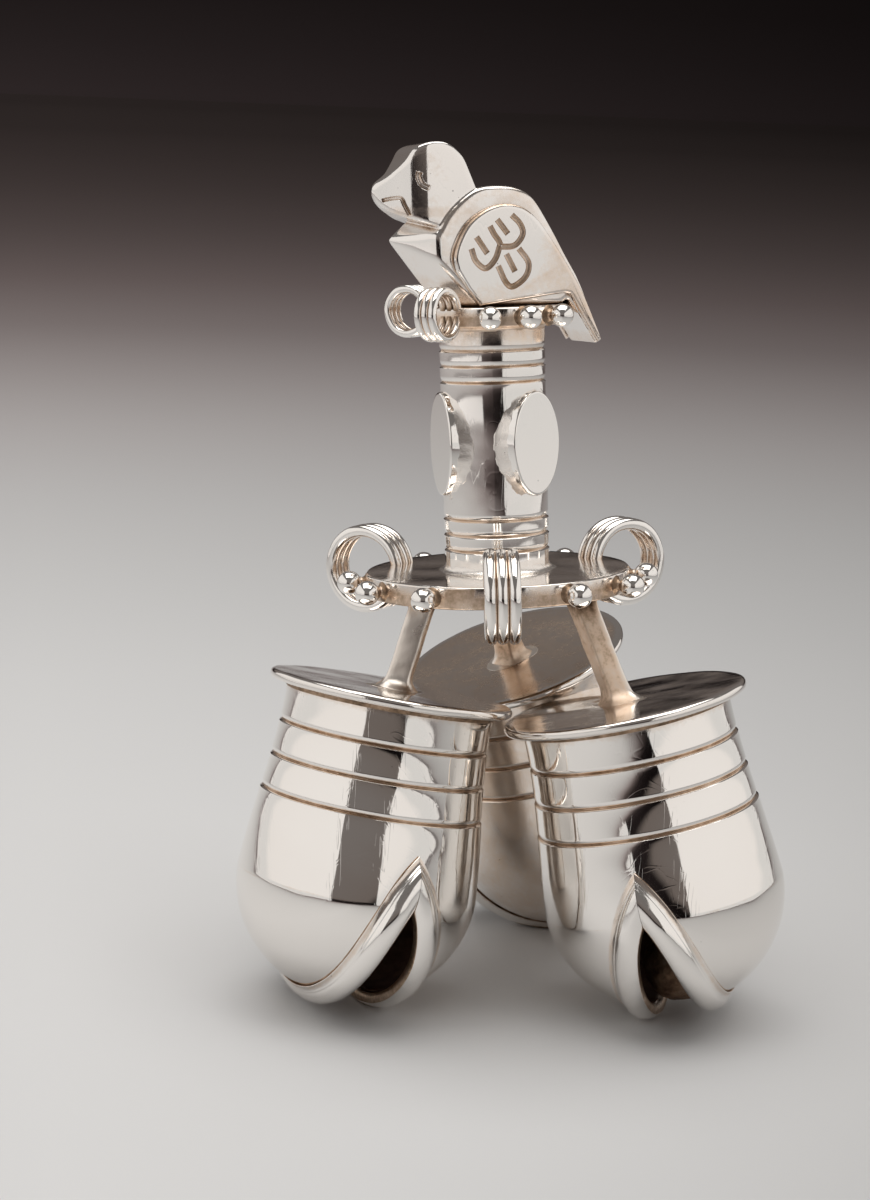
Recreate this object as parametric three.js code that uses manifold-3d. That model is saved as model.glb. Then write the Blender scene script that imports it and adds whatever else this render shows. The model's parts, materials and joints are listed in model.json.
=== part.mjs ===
// A hand-made silver rattle bell: a perched bird on a grooved grip, over a tripod of three slit bells.
// Millimetres, +Z up. The worn feet of the bells lie on z = 0, and the origin is the box's bottom centre.
// Seen with +Y going away, the bird looks left and a little towards the viewer.
import * as THREE from "three";
import { ConvexGeometry } from "three/addons/geometries/ConvexGeometry.js";
import { mergeVertices } from "three/addons/utils/BufferGeometryUtils.js";
import Module from "manifold-3d";

const wasm = await Module();
wasm.setup();

// Clearances
const seatGap = 0.25; // left at every soldered seat
const lidLap = 1.9; // how far neighbouring lids lie over each other, seen from above
const pelletClearance = 0.3; // a pellet over the two edges that it rolls on
const wearDepth = 0.3; // how much of the lowest lip is worn flat
const overrun = 3; // how far a cutter reaches past what it cuts
const weldDistance = 0.001; // vertices closer than this are one
const slopeStep = 0.01; // step used to find the slope of the bell's wall

// Grip
const gripHeight = 32.1; // from plate to plate
const gripRadius = 6.9;
const gripWall = 1.2;
const gripGrooveWidth = 0.7;
const gripGrooveDepth = 0.4;
const gripGroovePitch = 2.05;
const lowerGrooveStart = 2.9; // from the lower end to the first groove
const upperGrooveStart = 3.1; // from the upper end to the first groove
const groovesPerEnd = 3;

// Flat oval bosses on the grip
const bossHeight = 13.6;
const bossWidth = 9;
const bossFace = 7.5; // from the grip's axis to the flat face
const bossEdge = 0.25;
const bossRise = 16.85; // from the lower plate to the middle of a boss
const bossCount = 3;

// Plates above and below the grip
const lowerPlateRadius = 17.45;
const lowerPlateThickness = 2.9;
const upperPlateRadius = 9.95;
const upperPlateThickness = 2.5;
const plateEdge = 0.25;

// Beads, each on a short neck of solder
const lowerBeadRadius = 1.6;
const upperBeadRadius = 1.47;
const beadNeckLength = 0.6;
const beadNeckRadius = 0.8;

// Loops of three wires side by side
const lowerLoopRadius = 5.3; // to the middle of the wire
const lowerWireRadius = 0.8;
const lowerLoopStand = 2.4; // loop centre outside the plate's rim
const upperLoopRadius = 3.05;
const upperWireRadius = 0.56;
const upperLoopStand = 2.4;
const loopRise = 0.6; // loop centre above the middle of the plate's rim
const wireOverlapShare = 0.94; // spacing of the wires as a share of their thickness
const wiresPerLoop = 3;
const loopEndAngle = 8; // degrees short of closing; the plate trims the rest

// Bells
const lidRadius = 16;
const lidThickness = 1.2;
const lidEdge = 0.3;
const neckRadius = 13.7;
const bowlRadius = 15.9;
const bowlDepth = 15.1; // from the widest place down to the bottom
const equatorDrop = 25.9; // from the lid's top down to the widest place
const shellWall = 0.9;
const flarePower = 2.4; // how late the wall swells from the neck to the widest place
const bellGrooveDrop = 6.3; // from the lid's top to the first groove
const bellGroovePitch = 4.45;
const bellGrooveWidth = 0.8;
const bellGrooveDepth = 0.45;
const bellGrooveCount = 3;

// Mouth of a bell, edged by two half-round lips that meet in a point on each side
const lipWidth = 3.2;
const lipHeight = 1.3;
const lipSpread = 4.4; // from the middle of the mouth to the middle of a lip
const lipPower = 4; // how fast the pointed ends open
const lipTipAngle = 101; // degrees from the bottom of the bowl to the point where the lips meet
const lipReachShare = 1.15; // how far a lip runs past that point before the mitre cuts it
const slitReachShare = 0.88; // how far up the slit runs in the shell
const slitCover = 1.1; // how far a lip's middle lies outside the slit's edge

// Pellet inside each bell
const pelletRadius = 4.8;

// Legs
const legSide = 3;
const legTopRadius = 11.4; // where a leg meets the lower plate
const legFootInset = 1.1; // from the lid's middle towards the upright
const legCornerAngle = 45; // degrees, so that the square bar stands with a corner outwards
const legTopTurn = 6; // degrees from the bell's place to the leg's top
const standHeight = 15.2; // from the lids' middles up to the top of the lower plate
const handleShift = 1.2; // the upright stands beside the tripod's middle

// Places round the upright, in degrees from +X
const tripodTurn = 209;
const lowerLoopTurn = 272;
const lowerBeadTurns = [30, 60, 90]; // from each lower loop
const birdTurn = 199;
const upperLoopTurns = [-49, 39]; // from the bird's heading
const upperBeadTurns = [-120, -96, -71, 71, 96, 120];
const handleLeanAngle = 4.8; // degrees off upright
const handleLeanTurn = 144;
const handleShiftTurn = 191;
const perTurn = 360;
// The bells were hung by hand: each has its own tilt, and its own turn of the tilt and of the mouth
const bells = [
  { name: "left", tilt: 12.3, tiltTurn: 20.5, mouthTurn: 0 },
  { name: "right", tilt: 15.3, tiltTurn: 12, mouthTurn: 19 },
  { name: "rear", tilt: 20, tiltTurn: -60, mouthTurn: 0 },
];

// Bird: outlines are shares of its height, forward and up from where it stands
const birdHeight = 21;
const bodyWidth = 10;
const headWidth = 9.2;
const wingThickness = 1;
const birdEdge = 0.45;
const wingEdge = 0.35;
const bodyFrontShares = [[0.142, 0], [0.275, 0.157], [0.402, 0.296]];
const bodyRoundShares = [
  [0.415, 0.396], [0.375, 0.509], [0.288, 0.616], [0.154, 0.711],
  [0.02, 0.73], [-0.114, 0.711], [-0.214, 0.648], [-0.314, 0.491],
];
const bodyTailShares = [
  [-0.415, 0.302], [-0.515, 0.113], [-0.64, -0.225], [-0.603, -0.262],
  [-0.493, -0.062], [-0.42, 0.035], [-0.389, 0],
];
const headBackShares = [[0.14, 0.6], [0.142, 0.71]];
const headRoundShares = [
  [0.18, 0.806], [0.228, 0.91], [0.313, 0.986], [0.415, 1], [0.517, 0.967],
  [0.572, 0.892], [0.64, 0.82], [0.725, 0.763], [0.749, 0.711], [0.725, 0.649],
  [0.668, 0.597], [0.578, 0.55],
];
const headJawShares = [[0.483, 0.517], [0.355, 0.474]];
const headPlanShares = [[0.1, 1], [0.45, 1], [0.565, 0.82], [0.65, 0.42], [0.735, 0.16], [0.76, 0.06]];
const chestShares = [
  // forward, share of half the body's width, up
  [0.664, 0, 0.42], [0.408, 1, 0.28], [0.142, 1, 0], [0.351, 0, 0],
  [0.412, 1, 0.45], [0.54, 0, 0.531], [0.095, 1, 0.569],
];
const wingFrontShares = [[0.161, 0.006], [0.241, 0.113], [0.308, 0.226]];
const wingRoundShares = [
  [0.321, 0.302], [0.294, 0.396], [0.228, 0.503], [0.127, 0.579], [0.02, 0.616],
  [-0.08, 0.61], [-0.161, 0.572], [-0.241, 0.491], [-0.328, 0.365],
];
const wingTailShares = [
  [-0.393, 0.262], [-0.498, 0.075], [-0.62, -0.21], [-0.588, -0.243],
  [-0.483, -0.05], [-0.417, 0.063], [-0.381, 0.069],
];

// Facets
const plateSides = 32;
const gripSides = 24;
const bellSides = 24;
const beadSides = 8;
const beadRings = 4;
const bowlSteps = 5;
const wallSteps = 3;
const loopSteps = 12;
const lobeSteps = 2;
const lipSteps = 14;
const lipSides = 3;
const slitSteps = 14;
const ovalSides = 6;
const outlineSteps = 1;
const pelletSides = 12;
const pelletRings = 8;

const radians = THREE.MathUtils.degToRad;
const silver = { color: 0xd9d4cf, roughness: 0.18, metalness: 1 };
const copper = { color: 0x5f4636, roughness: 0.7, metalness: 0.6 };

// Turns a closed three.js geometry into a solid for cutting and joining.
function toSolid(geometry, matrix) {
  const bare = geometry.index ? geometry.toNonIndexed() : geometry.clone();
  bare.deleteAttribute("normal");
  bare.deleteAttribute("uv");
  if (matrix) bare.applyMatrix4(matrix);
  const merged = mergeVertices(bare, weldDistance);
  const vertProperties = merged.attributes.position.array;
  const triVerts = new Uint32Array(merged.index.array);
  return new wasm.Manifold(new wasm.Mesh({ numProp: 3, vertProperties, triVerts }));
}

function toGeometry(solid) {
  const mesh = solid.getMesh();
  const geometry = new THREE.BufferGeometry();
  geometry.setAttribute("position", new THREE.BufferAttribute(mesh.vertProperties, 3));
  geometry.setIndex(new THREE.BufferAttribute(mesh.triVerts, 1));
  return geometry;
}

function add(parent, name, geometry, look) {
  const flat = geometry.index ? geometry.toNonIndexed() : geometry;
  flat.computeVertexNormals();
  const mesh = new THREE.Mesh(flat, new THREE.MeshStandardMaterial(look));
  mesh.name = name;
  parent.add(mesh);
  return mesh;
}

// Turns [radius, height] points about Z. The points run upwards on the outside.
function lathe(points, sides) {
  const profile = points.map(([radius, height]) => new THREE.Vector2(radius, height));
  return new THREE.LatheGeometry(profile, sides).rotateX(Math.PI / 2);
}

function disc(radius, thickness, edge, sides) {
  const points = [
    [0, -thickness], [radius - edge, -thickness], [radius, edge - thickness],
    [radius, -edge], [radius - edge, 0], [0, 0],
  ];
  return lathe(points, sides);
}

// A plain drum from one height to another, used to cut a seat.
function drum(radius, from, to, sides) {
  return lathe([[0, from], [radius, from], [radius, to], [0, to]], sides);
}

// Sends X, Y and Z of a flat drawing to three directions.
function basis(x, y, z) {
  return new THREE.Matrix4().makeBasis(
    new THREE.Vector3(...x),
    new THREE.Vector3(...y),
    new THREE.Vector3(...z),
  );
}

// A group turned to face outwards at a number of degrees from +X.
function facing(parent, degrees) {
  const group = new THREE.Group();
  group.rotation.z = radians(degrees);
  parent.add(group);
  return group;
}

// Grip: a tube with three grooves near each end
function gripGeometry() {
  const low = seatGap;
  const high = gripHeight - seatGap;
  const grooves = [];
  for (let i = 0; i < groovesPerEnd; i += 1) {
    grooves.push(lowerGrooveStart + i * gripGroovePitch);
    grooves.push(gripHeight - upperGrooveStart - i * gripGroovePitch);
  }
  grooves.sort((a, b) => a - b);
  const points = [[gripRadius - gripWall, low], [gripRadius, low]];
  for (const height of grooves) {
    points.push([gripRadius, height - gripGrooveWidth / 2]);
    points.push([gripRadius - gripGrooveDepth, height]);
    points.push([gripRadius, height + gripGrooveWidth / 2]);
  }
  points.push([gripRadius, high], [gripRadius - gripWall, high], [gripRadius - gripWall, low]);
  return lathe(points, gripSides);
}

// Boss: an oval with a flat face, its back cut to the grip
function bossGeometry() {
  const oval = new THREE.Shape();
  oval.absellipse(0, 0, bossWidth / 2 - bossEdge, bossHeight / 2 - bossEdge, 0, 2 * Math.PI);
  const block = new THREE.ExtrudeGeometry(oval, {
    depth: bossFace - bossEdge,
    bevelThickness: bossEdge,
    bevelSize: bossEdge,
    bevelSegments: 1,
    curveSegments: ovalSides * 2,
  });
  const outwards = basis([0, 1, 0], [0, 0, 1], [1, 0, 0]);
  const seat = drum(gripRadius + seatGap, -bossHeight, bossHeight, gripSides);
  const half = new THREE.BoxGeometry(bossFace, bossWidth + overrun, bossHeight + overrun);
  const behind = new THREE.Matrix4().makeTranslation(-bossFace / 2, 0, 0);
  return toGeometry(toSolid(block, outwards).subtract(toSolid(seat)).subtract(toSolid(half, behind)));
}

// Bead: a ball on a short neck, its base at x = 0 and pointing along +X
function beadGeometry(radius) {
  const start = Math.asin(Math.min(beadNeckRadius / radius, 1));
  const centre = beadNeckLength + radius * Math.cos(start);
  const points = [[0, 0], [beadNeckRadius, 0]];
  for (let i = 0; i <= beadRings; i += 1) {
    const angle = Math.PI - start - (i / beadRings) * (Math.PI - start);
    const last = i === beadRings;
    points.push([last ? 0 : radius * Math.sin(angle), centre + radius * Math.cos(angle)]);
  }
  return lathe(points, beadSides).applyMatrix4(basis([0, 1, 0], [0, 0, 1], [1, 0, 0]));
}

class LoopPath extends THREE.Curve {
  constructor(radius, centre, height) {
    super();
    Object.assign(this, { radius, centre, height });
  }
  getPoint(t, target = new THREE.Vector3()) {
    const reach = Math.PI - radians(loopEndAngle);
    const angle = reach * (1 - 2 * t);
    const forward = this.centre + this.radius * Math.cos(angle);
    return target.set(forward, 0, this.height + this.radius * Math.sin(angle));
  }
}

// Section of wires that lie side by side and run into each other a little
function wireSection(wireRadius) {
  const spacing = 2 * wireRadius * wireOverlapShare;
  const shared = Math.acos(wireOverlapShare);
  const points = [];
  for (const side of [1, -1]) {
    for (let i = 0; i < wiresPerLoop; i += 1) {
      const centre = ((wiresPerLoop - 1) / 2 - i) * spacing;
      const from = i === 0 ? 0 : shared;
      const to = i === wiresPerLoop - 1 ? Math.PI : Math.PI - shared;
      for (let k = 0; k < lobeSteps; k += 1) {
        const angle = from + (k / lobeSteps) * (to - from);
        const across = centre + wireRadius * Math.cos(angle);
        points.push(new THREE.Vector2(side * across, side * wireRadius * Math.sin(angle)));
      }
    }
  }
  return new THREE.Shape(points);
}

// Loop: leaves the plate's top, rounds the rim and ends under the plate
function loopGeometry(radius, wireRadius, stand, plateRadius, plateThickness) {
  const path = new LoopPath(radius, plateRadius + stand, loopRise - plateThickness / 2);
  const bent = new THREE.ExtrudeGeometry(wireSection(wireRadius), {
    steps: loopSteps,
    extrudePath: path,
    bevelEnabled: false,
  });
  const seat = drum(plateRadius + seatGap, -plateThickness - seatGap, seatGap, plateSides);
  return toGeometry(toSolid(bent).subtract(toSolid(seat)));
}

function addPlateTrim(handle, level, sizes) {
  const group = new THREE.Group();
  group.position.z = sizes.top;
  handle.add(group);
  add(group, level + "_plate", disc(sizes.radius, sizes.thickness, plateEdge, plateSides), silver);
  sizes.loops.forEach((turn, i) => {
    const loop = loopGeometry(
      sizes.loopRadius, sizes.wireRadius, sizes.stand, sizes.radius, sizes.thickness,
    );
    add(facing(group, turn), `${level}_loop_${i + 1}`, loop, silver);
  });
  sizes.beads.forEach((turn, i) => {
    const bead = add(
      facing(group, turn), `${level}_bead_${i + 1}`, beadGeometry(sizes.beadRadius), silver,
    );
    bead.position.set(sizes.radius + seatGap, 0, -sizes.thickness / 2);
  });
}

// Bird
function birdPoints(shares) {
  return shares.map(([forward, up]) => new THREE.Vector2(forward * birdHeight, up * birdHeight));
}

// A closed outline: straight to each point of start, a smooth round, then straight to each of end
function birdOutline(start, round, end) {
  const [first, ...rest] = birdPoints(start);
  const shape = new THREE.Shape();
  shape.moveTo(first.x, first.y);
  for (const point of rest) shape.lineTo(point.x, point.y);
  shape.splineThru(birdPoints(round));
  for (const point of birdPoints(end)) shape.lineTo(point.x, point.y);
  return shape;
}

// Extrudes an outline of the bird's side across its width, centred, with broken edges.
function sideBlock(shape, width, edge) {
  const block = new THREE.ExtrudeGeometry(shape, {
    depth: width - 2 * edge,
    bevelThickness: edge,
    bevelSize: edge,
    bevelOffset: -edge,
    bevelSegments: 1,
    curveSegments: outlineSteps,
  });
  block.translate(0, 0, edge - width / 2);
  return block.applyMatrix4(basis([1, 0, 0], [0, 0, 1], [0, -1, 0]));
}

function headSolid() {
  const side = sideBlock(birdOutline(headBackShares, headRoundShares, headJawShares), headWidth, birdEdge);
  const near = headPlanShares.map(([forward, across]) => [forward * birdHeight, (across * headWidth) / 2]);
  const outline = [...near, ...near.map(([forward, across]) => [forward, -across]).reverse()];
  const plan = new THREE.Shape(outline.map(([forward, across]) => new THREE.Vector2(forward, across)));
  const prism = new THREE.ExtrudeGeometry(plan, { depth: birdHeight + overrun, bevelEnabled: false });
  return toSolid(side).intersect(toSolid(prism));
}

function chestSolid() {
  const points = [];
  for (const [forward, across, up] of chestShares) {
    for (const side of across ? [-1, 1] : [0]) {
      const half = (across * bodyWidth) / 2;
      points.push(new THREE.Vector3(forward * birdHeight, side * half, up * birdHeight));
    }
  }
  return toSolid(new ConvexGeometry(points));
}

function birdGeometry() {
  const body = toSolid(
    sideBlock(birdOutline(bodyFrontShares, bodyRoundShares, bodyTailShares), bodyWidth, birdEdge),
  );
  const seat = drum(upperPlateRadius + seatGap, -birdHeight, seatGap, plateSides);
  return toGeometry(body.add(chestSolid()).add(headSolid()).subtract(toSolid(seat)));
}

function wingGeometry() {
  return sideBlock(
    birdOutline(wingFrontShares, wingRoundShares, wingTailShares), wingThickness, wingEdge,
  );
}

function addBird(handle) {
  const group = facing(handle, birdTurn);
  group.position.z = gripHeight + upperPlateThickness;
  add(group, "bird", birdGeometry(), silver);
  for (const [name, side] of [["left_wing", 1], ["right_wing", -1]]) {
    const wing = add(group, name, wingGeometry(), silver);
    wing.position.set(0, side * (bodyWidth / 2 + seatGap + wingThickness / 2), seatGap);
  }
}

// Outer radius of a bell at a drop below the lid's top
function bellRadiusAt(drop) {
  if (drop >= equatorDrop) {
    const share = Math.min((drop - equatorDrop) / bowlDepth, 1);
    return bowlRadius * Math.sqrt(1 - share * share);
  }
  const share = Math.max(drop - lidThickness, 0) / (equatorDrop - lidThickness);
  return neckRadius + (bowlRadius - neckRadius) * Math.sin((share * Math.PI) / 2) ** flarePower;
}

function bowlArc(radius, depth, fromBottom) {
  const arc = [];
  for (let i = 0; i <= bowlSteps; i += 1) {
    const angle = ((fromBottom ? i : bowlSteps - i) / bowlSteps) * (Math.PI / 2);
    arc.push([i === (fromBottom ? 0 : bowlSteps) ? 0 : radius * Math.sin(angle),
      -equatorDrop - depth * Math.cos(angle)]);
  }
  return arc;
}

// Shell: a thin bell, open at the neck, with three grooves and a pointed slit
function shellGeometry() {
  const top = lidThickness + seatGap;
  const outer = [];
  const lastGroove = bellGrooveDrop + (bellGrooveCount - 1) * bellGroovePitch;
  for (let i = 1; i < wallSteps; i += 1) {
    const drop = equatorDrop - (i / wallSteps) * (equatorDrop - lastGroove);
    outer.push([bellRadiusAt(drop), -drop]);
  }
  for (let i = bellGrooveCount - 1; i >= 0; i -= 1) {
    const drop = bellGrooveDrop + i * bellGroovePitch;
    outer.push([bellRadiusAt(drop), -drop - bellGrooveWidth / 2]);
    outer.push([bellRadiusAt(drop) - bellGrooveDepth, -drop]);
    outer.push([bellRadiusAt(drop), -drop + bellGrooveWidth / 2]);
  }
  const inner = [];
  for (let i = wallSteps; i > 0; i -= 1) {
    const drop = equatorDrop - (i / wallSteps) * (equatorDrop - top);
    inner.push([bellRadiusAt(drop) - shellWall, -drop]);
  }
  const profile = [
    ...bowlArc(bowlRadius, bowlDepth, true),
    ...outer,
    [bellRadiusAt(top), -top],
    ...inner,
    ...bowlArc(bowlRadius - shellWall, bowlDepth - shellWall, false),
  ];
  return toGeometry(toSolid(lathe(profile, bellSides)).subtract(slitSolid()));
}

// Half the distance between the middles of the two lips, at an angle from the bottom of the bowl
function lipOffset(angle) {
  return lipSpread * (1 - Math.abs(angle / radians(lipTipAngle)) ** lipPower);
}

// Point on the bell's outside, at an angle from the bottom along the mouth and a distance across it
function bellPoint(angle, across) {
  const width = Math.sqrt(1 - (across / bowlRadius) ** 2);
  const drop = equatorDrop + bowlDepth * width * Math.cos(angle);
  if (Math.abs(angle) <= Math.PI / 2) {
    return new THREE.Vector3(across, bowlRadius * width * Math.sin(angle), -drop);
  }
  const along = Math.sqrt(bellRadiusAt(drop) ** 2 - across ** 2);
  return new THREE.Vector3(across, Math.sign(angle) * along, -drop);
}

function bellNormal(point) {
  const drop = -point.z;
  if (drop >= equatorDrop) {
    const up = (point.z + equatorDrop) / bowlDepth ** 2;
    return new THREE.Vector3(point.x / bowlRadius ** 2, point.y / bowlRadius ** 2, up).normalize();
  }
  const slope = (bellRadiusAt(drop + slopeStep) - bellRadiusAt(drop - slopeStep)) / (2 * slopeStep);
  const radius = Math.hypot(point.x, point.y);
  return new THREE.Vector3(point.x / radius, point.y / radius, slope).normalize();
}

// Bends a straight bar along the bell: X goes across, Y out from the surface and Z along the mouth.
function bend(geometry, place) {
  const position = geometry.attributes.position;
  for (let i = 0; i < position.count; i += 1) {
    const point = place(position.getX(i), position.getY(i), position.getZ(i));
    position.setXYZ(i, point.x, point.y, point.z);
  }
  return geometry;
}

function slitSolid() {
  const bar = new THREE.BoxGeometry(1, 1, 1, 1, 1, slitSteps);
  const reach = radians(lipTipAngle) * slitReachShare;
  const place = (x, y, z) => {
    const angle = 2 * z * reach;
    const point = bellPoint(angle, 2 * x * (lipOffset(angle) - slitCover));
    return point.addScaledVector(bellNormal(point), 2 * y * overrun);
  };
  return toSolid(bend(bar, place));
}

// Lip: a half-round bar over the edge of the slit, mitred where the two lips meet
function lipSolid(side) {
  const section = new THREE.Shape();
  section.absellipse(0, 0, lipWidth / 2, lipHeight, 0, Math.PI);
  const bar = new THREE.ExtrudeGeometry(section, {
    depth: 1,
    steps: lipSteps,
    bevelEnabled: false,
    curveSegments: lipSides * 2,
  });
  const reach = radians(lipTipAngle) * lipReachShare;
  const middle = (angle) => bellPoint(angle, side * lipOffset(angle));
  const place = (x, y, z) => {
    const angle = (2 * z - 1) * reach;
    const point = middle(angle);
    const ahead = middle(angle + slopeStep).sub(middle(angle - slopeStep)).normalize();
    const out = bellNormal(point);
    const across = out.clone().cross(ahead);
    return point.addScaledVector(across, x).addScaledVector(out, y + seatGap);
  };
  const length = equatorDrop + bowlDepth + overrun;
  const block = new THREE.BoxGeometry(length, 2 * length, 2 * length);
  const mitre = new THREE.Matrix4().makeTranslation(side * (seatGap / 2 - length / 2), 0, -length / 2);
  return toSolid(bend(bar, place)).subtract(toSolid(block, mitre));
}

// The bell's own frame: the lid's top at the origin, the mouth along Y and the bowl below
function bellRotation(bell, place) {
  const azimuth = radians(place + bell.tiltTurn);
  const tilt = radians(bell.tilt);
  const upright = new THREE.Vector3(0, 0, 1);
  const leaning = new THREE.Vector3(
    -Math.sin(tilt) * Math.cos(azimuth),
    -Math.sin(tilt) * Math.sin(azimuth),
    Math.cos(tilt),
  );
  const spin = new THREE.Quaternion().setFromAxisAngle(upright, radians(place + bell.mouthTurn));
  return new THREE.Quaternion().setFromUnitVectors(upright, leaning).multiply(spin);
}

function lowestPoint(geometry, rotation) {
  const turned = geometry.clone().applyQuaternion(rotation);
  turned.computeBoundingBox();
  return turned.boundingBox.min.z;
}

function addBell(root, bell, place) {
  const group = new THREE.Group();
  const lips = [["inner", -1], ["outer", 1]].map(([name, side]) => [name, lipSolid(side)]);
  const rotation = bellRotation(bell, place);
  const lows = lips.map(([, solid]) => lowestPoint(toGeometry(solid), rotation));
  const spread = (lidRadius - lidLap / 2) / Math.sin(Math.PI / bells.length);
  group.position.set(
    spread * Math.cos(radians(place)),
    spread * Math.sin(radians(place)),
    -Math.min(...lows) - wearDepth,
  );
  group.quaternion.copy(rotation);
  group.updateMatrix();
  root.add(group);
  const under = new THREE.BoxGeometry(4 * spread, 4 * spread, spread);
  const toBell = group.matrix.clone().invert();
  const floor = toSolid(under, toBell.multiply(new THREE.Matrix4().makeTranslation(0, 0, -spread / 2)));
  add(group, "lid_" + bell.name, disc(lidRadius, lidThickness, lidEdge, plateSides), silver);
  add(group, "shell_" + bell.name, shellGeometry(), silver);
  for (const [name, solid] of lips) {
    add(group, `lip_${bell.name}_${name}`, toGeometry(solid.subtract(floor)), silver);
  }
  addPellet(group, bell);
  return group;
}

// Pellet: lies over the slit's edges, where its weight rolls it, and swings about the bowl's centre
function addPellet(group, bell) {
  const down = new THREE.Vector3(0, 0, -1).applyQuaternion(group.quaternion.clone().invert());
  const slitHalf = lipSpread - slitCover;
  const inside = bowlDepth - shellWall;
  const edgeDrop = inside * Math.sqrt(1 - (slitHalf / (bowlRadius - shellWall)) ** 2);
  const swing = edgeDrop - Math.sqrt(pelletRadius ** 2 - slitHalf ** 2) - pelletClearance;
  const pivot = new THREE.Group();
  pivot.position.z = -equatorDrop;
  pivot.rotation.x = Math.atan2(down.y, -down.z);
  group.add(pivot);
  const ball = new THREE.SphereGeometry(pelletRadius, pelletSides, pelletRings);
  add(pivot, "pellet_" + bell.name, ball, copper).position.z = -swing;
}

// Leg: a square bar from the middle of a lid to the underside of the lower plate
function addLeg(root, handle, bellGroup, bell, place) {
  const azimuth = radians(place + legTopTurn);
  const under = -lowerPlateThickness - seatGap;
  const top = new THREE.Vector3(
    legTopRadius * Math.cos(azimuth), legTopRadius * Math.sin(azimuth), under,
  ).applyMatrix4(handle.matrix);
  const foot = bellGroup.position.clone();
  foot.x -= legFootInset * Math.cos(radians(place));
  foot.y -= legFootInset * Math.sin(radians(place));
  const axis = top.clone().sub(foot);
  const length = axis.length() + 2 * overrun;
  const outwards = new THREE.Vector3(Math.cos(azimuth), Math.sin(azimuth), 0);
  const z = axis.normalize();
  const y = z.clone().cross(outwards).normalize();
  const x = y.clone().cross(z);
  const frame = new THREE.Matrix4().makeBasis(x, y, z);
  frame.setPosition(top.clone().add(foot).multiplyScalar(1 / 2));
  frame.multiply(new THREE.Matrix4().makeRotationZ(radians(legCornerAngle)));
  const bar = new THREE.BoxGeometry(legSide, legSide, length);
  const plateSeat = drum(lowerPlateRadius, under, overrun, plateSides);
  const lidSeat = drum(lidRadius, -lidThickness - overrun, seatGap, plateSides);
  const solid = toSolid(bar, frame)
    .subtract(toSolid(plateSeat, handle.matrix))
    .subtract(toSolid(lidSeat, bellGroup.matrix));
  add(root, "leg_" + bell.name, toGeometry(solid), silver);
}

function addHandle(root, lidHeight) {
  const axis = new THREE.Vector3(
    -Math.sin(radians(handleLeanTurn)), Math.cos(radians(handleLeanTurn)), 0,
  );
  const handle = new THREE.Group();
  handle.quaternion.setFromAxisAngle(axis, radians(handleLeanAngle));
  handle.position.set(0, 0, standHeight).applyQuaternion(handle.quaternion);
  handle.position.x += handleShift * Math.cos(radians(handleShiftTurn));
  handle.position.y += handleShift * Math.sin(radians(handleShiftTurn));
  handle.position.z += lidHeight;
  handle.updateMatrix();
  root.add(handle);
  const lowerLoops = [];
  const lowerBeads = [];
  for (let i = 0; i < bells.length; i += 1) {
    const turn = lowerLoopTurn - (i * perTurn) / bells.length;
    lowerLoops.push(turn);
    for (const offset of lowerBeadTurns) lowerBeads.push(turn + offset);
  }
  addPlateTrim(handle, "lower", {
    top: 0,
    radius: lowerPlateRadius,
    thickness: lowerPlateThickness,
    loops: lowerLoops,
    loopRadius: lowerLoopRadius,
    wireRadius: lowerWireRadius,
    stand: lowerLoopStand,
    beads: lowerBeads,
    beadRadius: lowerBeadRadius,
  });
  addPlateTrim(handle, "upper", {
    top: gripHeight + upperPlateThickness,
    radius: upperPlateRadius,
    thickness: upperPlateThickness,
    loops: upperLoopTurns.map((turn) => birdTurn + turn),
    loopRadius: upperLoopRadius,
    wireRadius: upperWireRadius,
    stand: upperLoopStand,
    beads: upperBeadTurns.map((turn) => birdTurn + turn),
    beadRadius: upperBeadRadius,
  });
  add(handle, "grip", gripGeometry(), silver);
  for (let i = 0; i < bossCount; i += 1) {
    const boss = add(
      facing(handle, birdTurn + (i * perTurn) / bossCount), `grip_boss_${i + 1}`, bossGeometry(), silver,
    );
    boss.position.z = bossRise;
  }
  addBird(handle);
  return handle;
}

function rattleBell() {
  const root = new THREE.Group();
  const places = bells.map((bell, i) => tripodTurn + (i * perTurn) / bells.length);
  const groups = bells.map((bell, i) => addBell(root, bell, places[i]));
  const lidHeight = groups.reduce((sum, group) => sum + group.position.z, 0) / groups.length;
  const handle = addHandle(root, lidHeight);
  bells.forEach((bell, i) => addLeg(root, handle, groups[i], bell, places[i]));
  const box = new THREE.Box3().setFromObject(root, true);
  const middle = box.getCenter(new THREE.Vector3());
  root.position.set(-middle.x, -middle.y, 0);
  return root;
}

export default rattleBell();
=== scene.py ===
# A hand-made silver rattle bell: a perched bird on a grooved grip, over a tripod of three slit bells.
# Every piece is drawn in millimetres in its own frame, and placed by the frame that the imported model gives.
import json
from math import acos, asin, atan2, copysign, cos, degrees, exp, hypot, pi, radians, sin, sqrt

import bmesh
import bpy
import numpy as np
from mathutils import Matrix, Quaternion, Vector, noise


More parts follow.
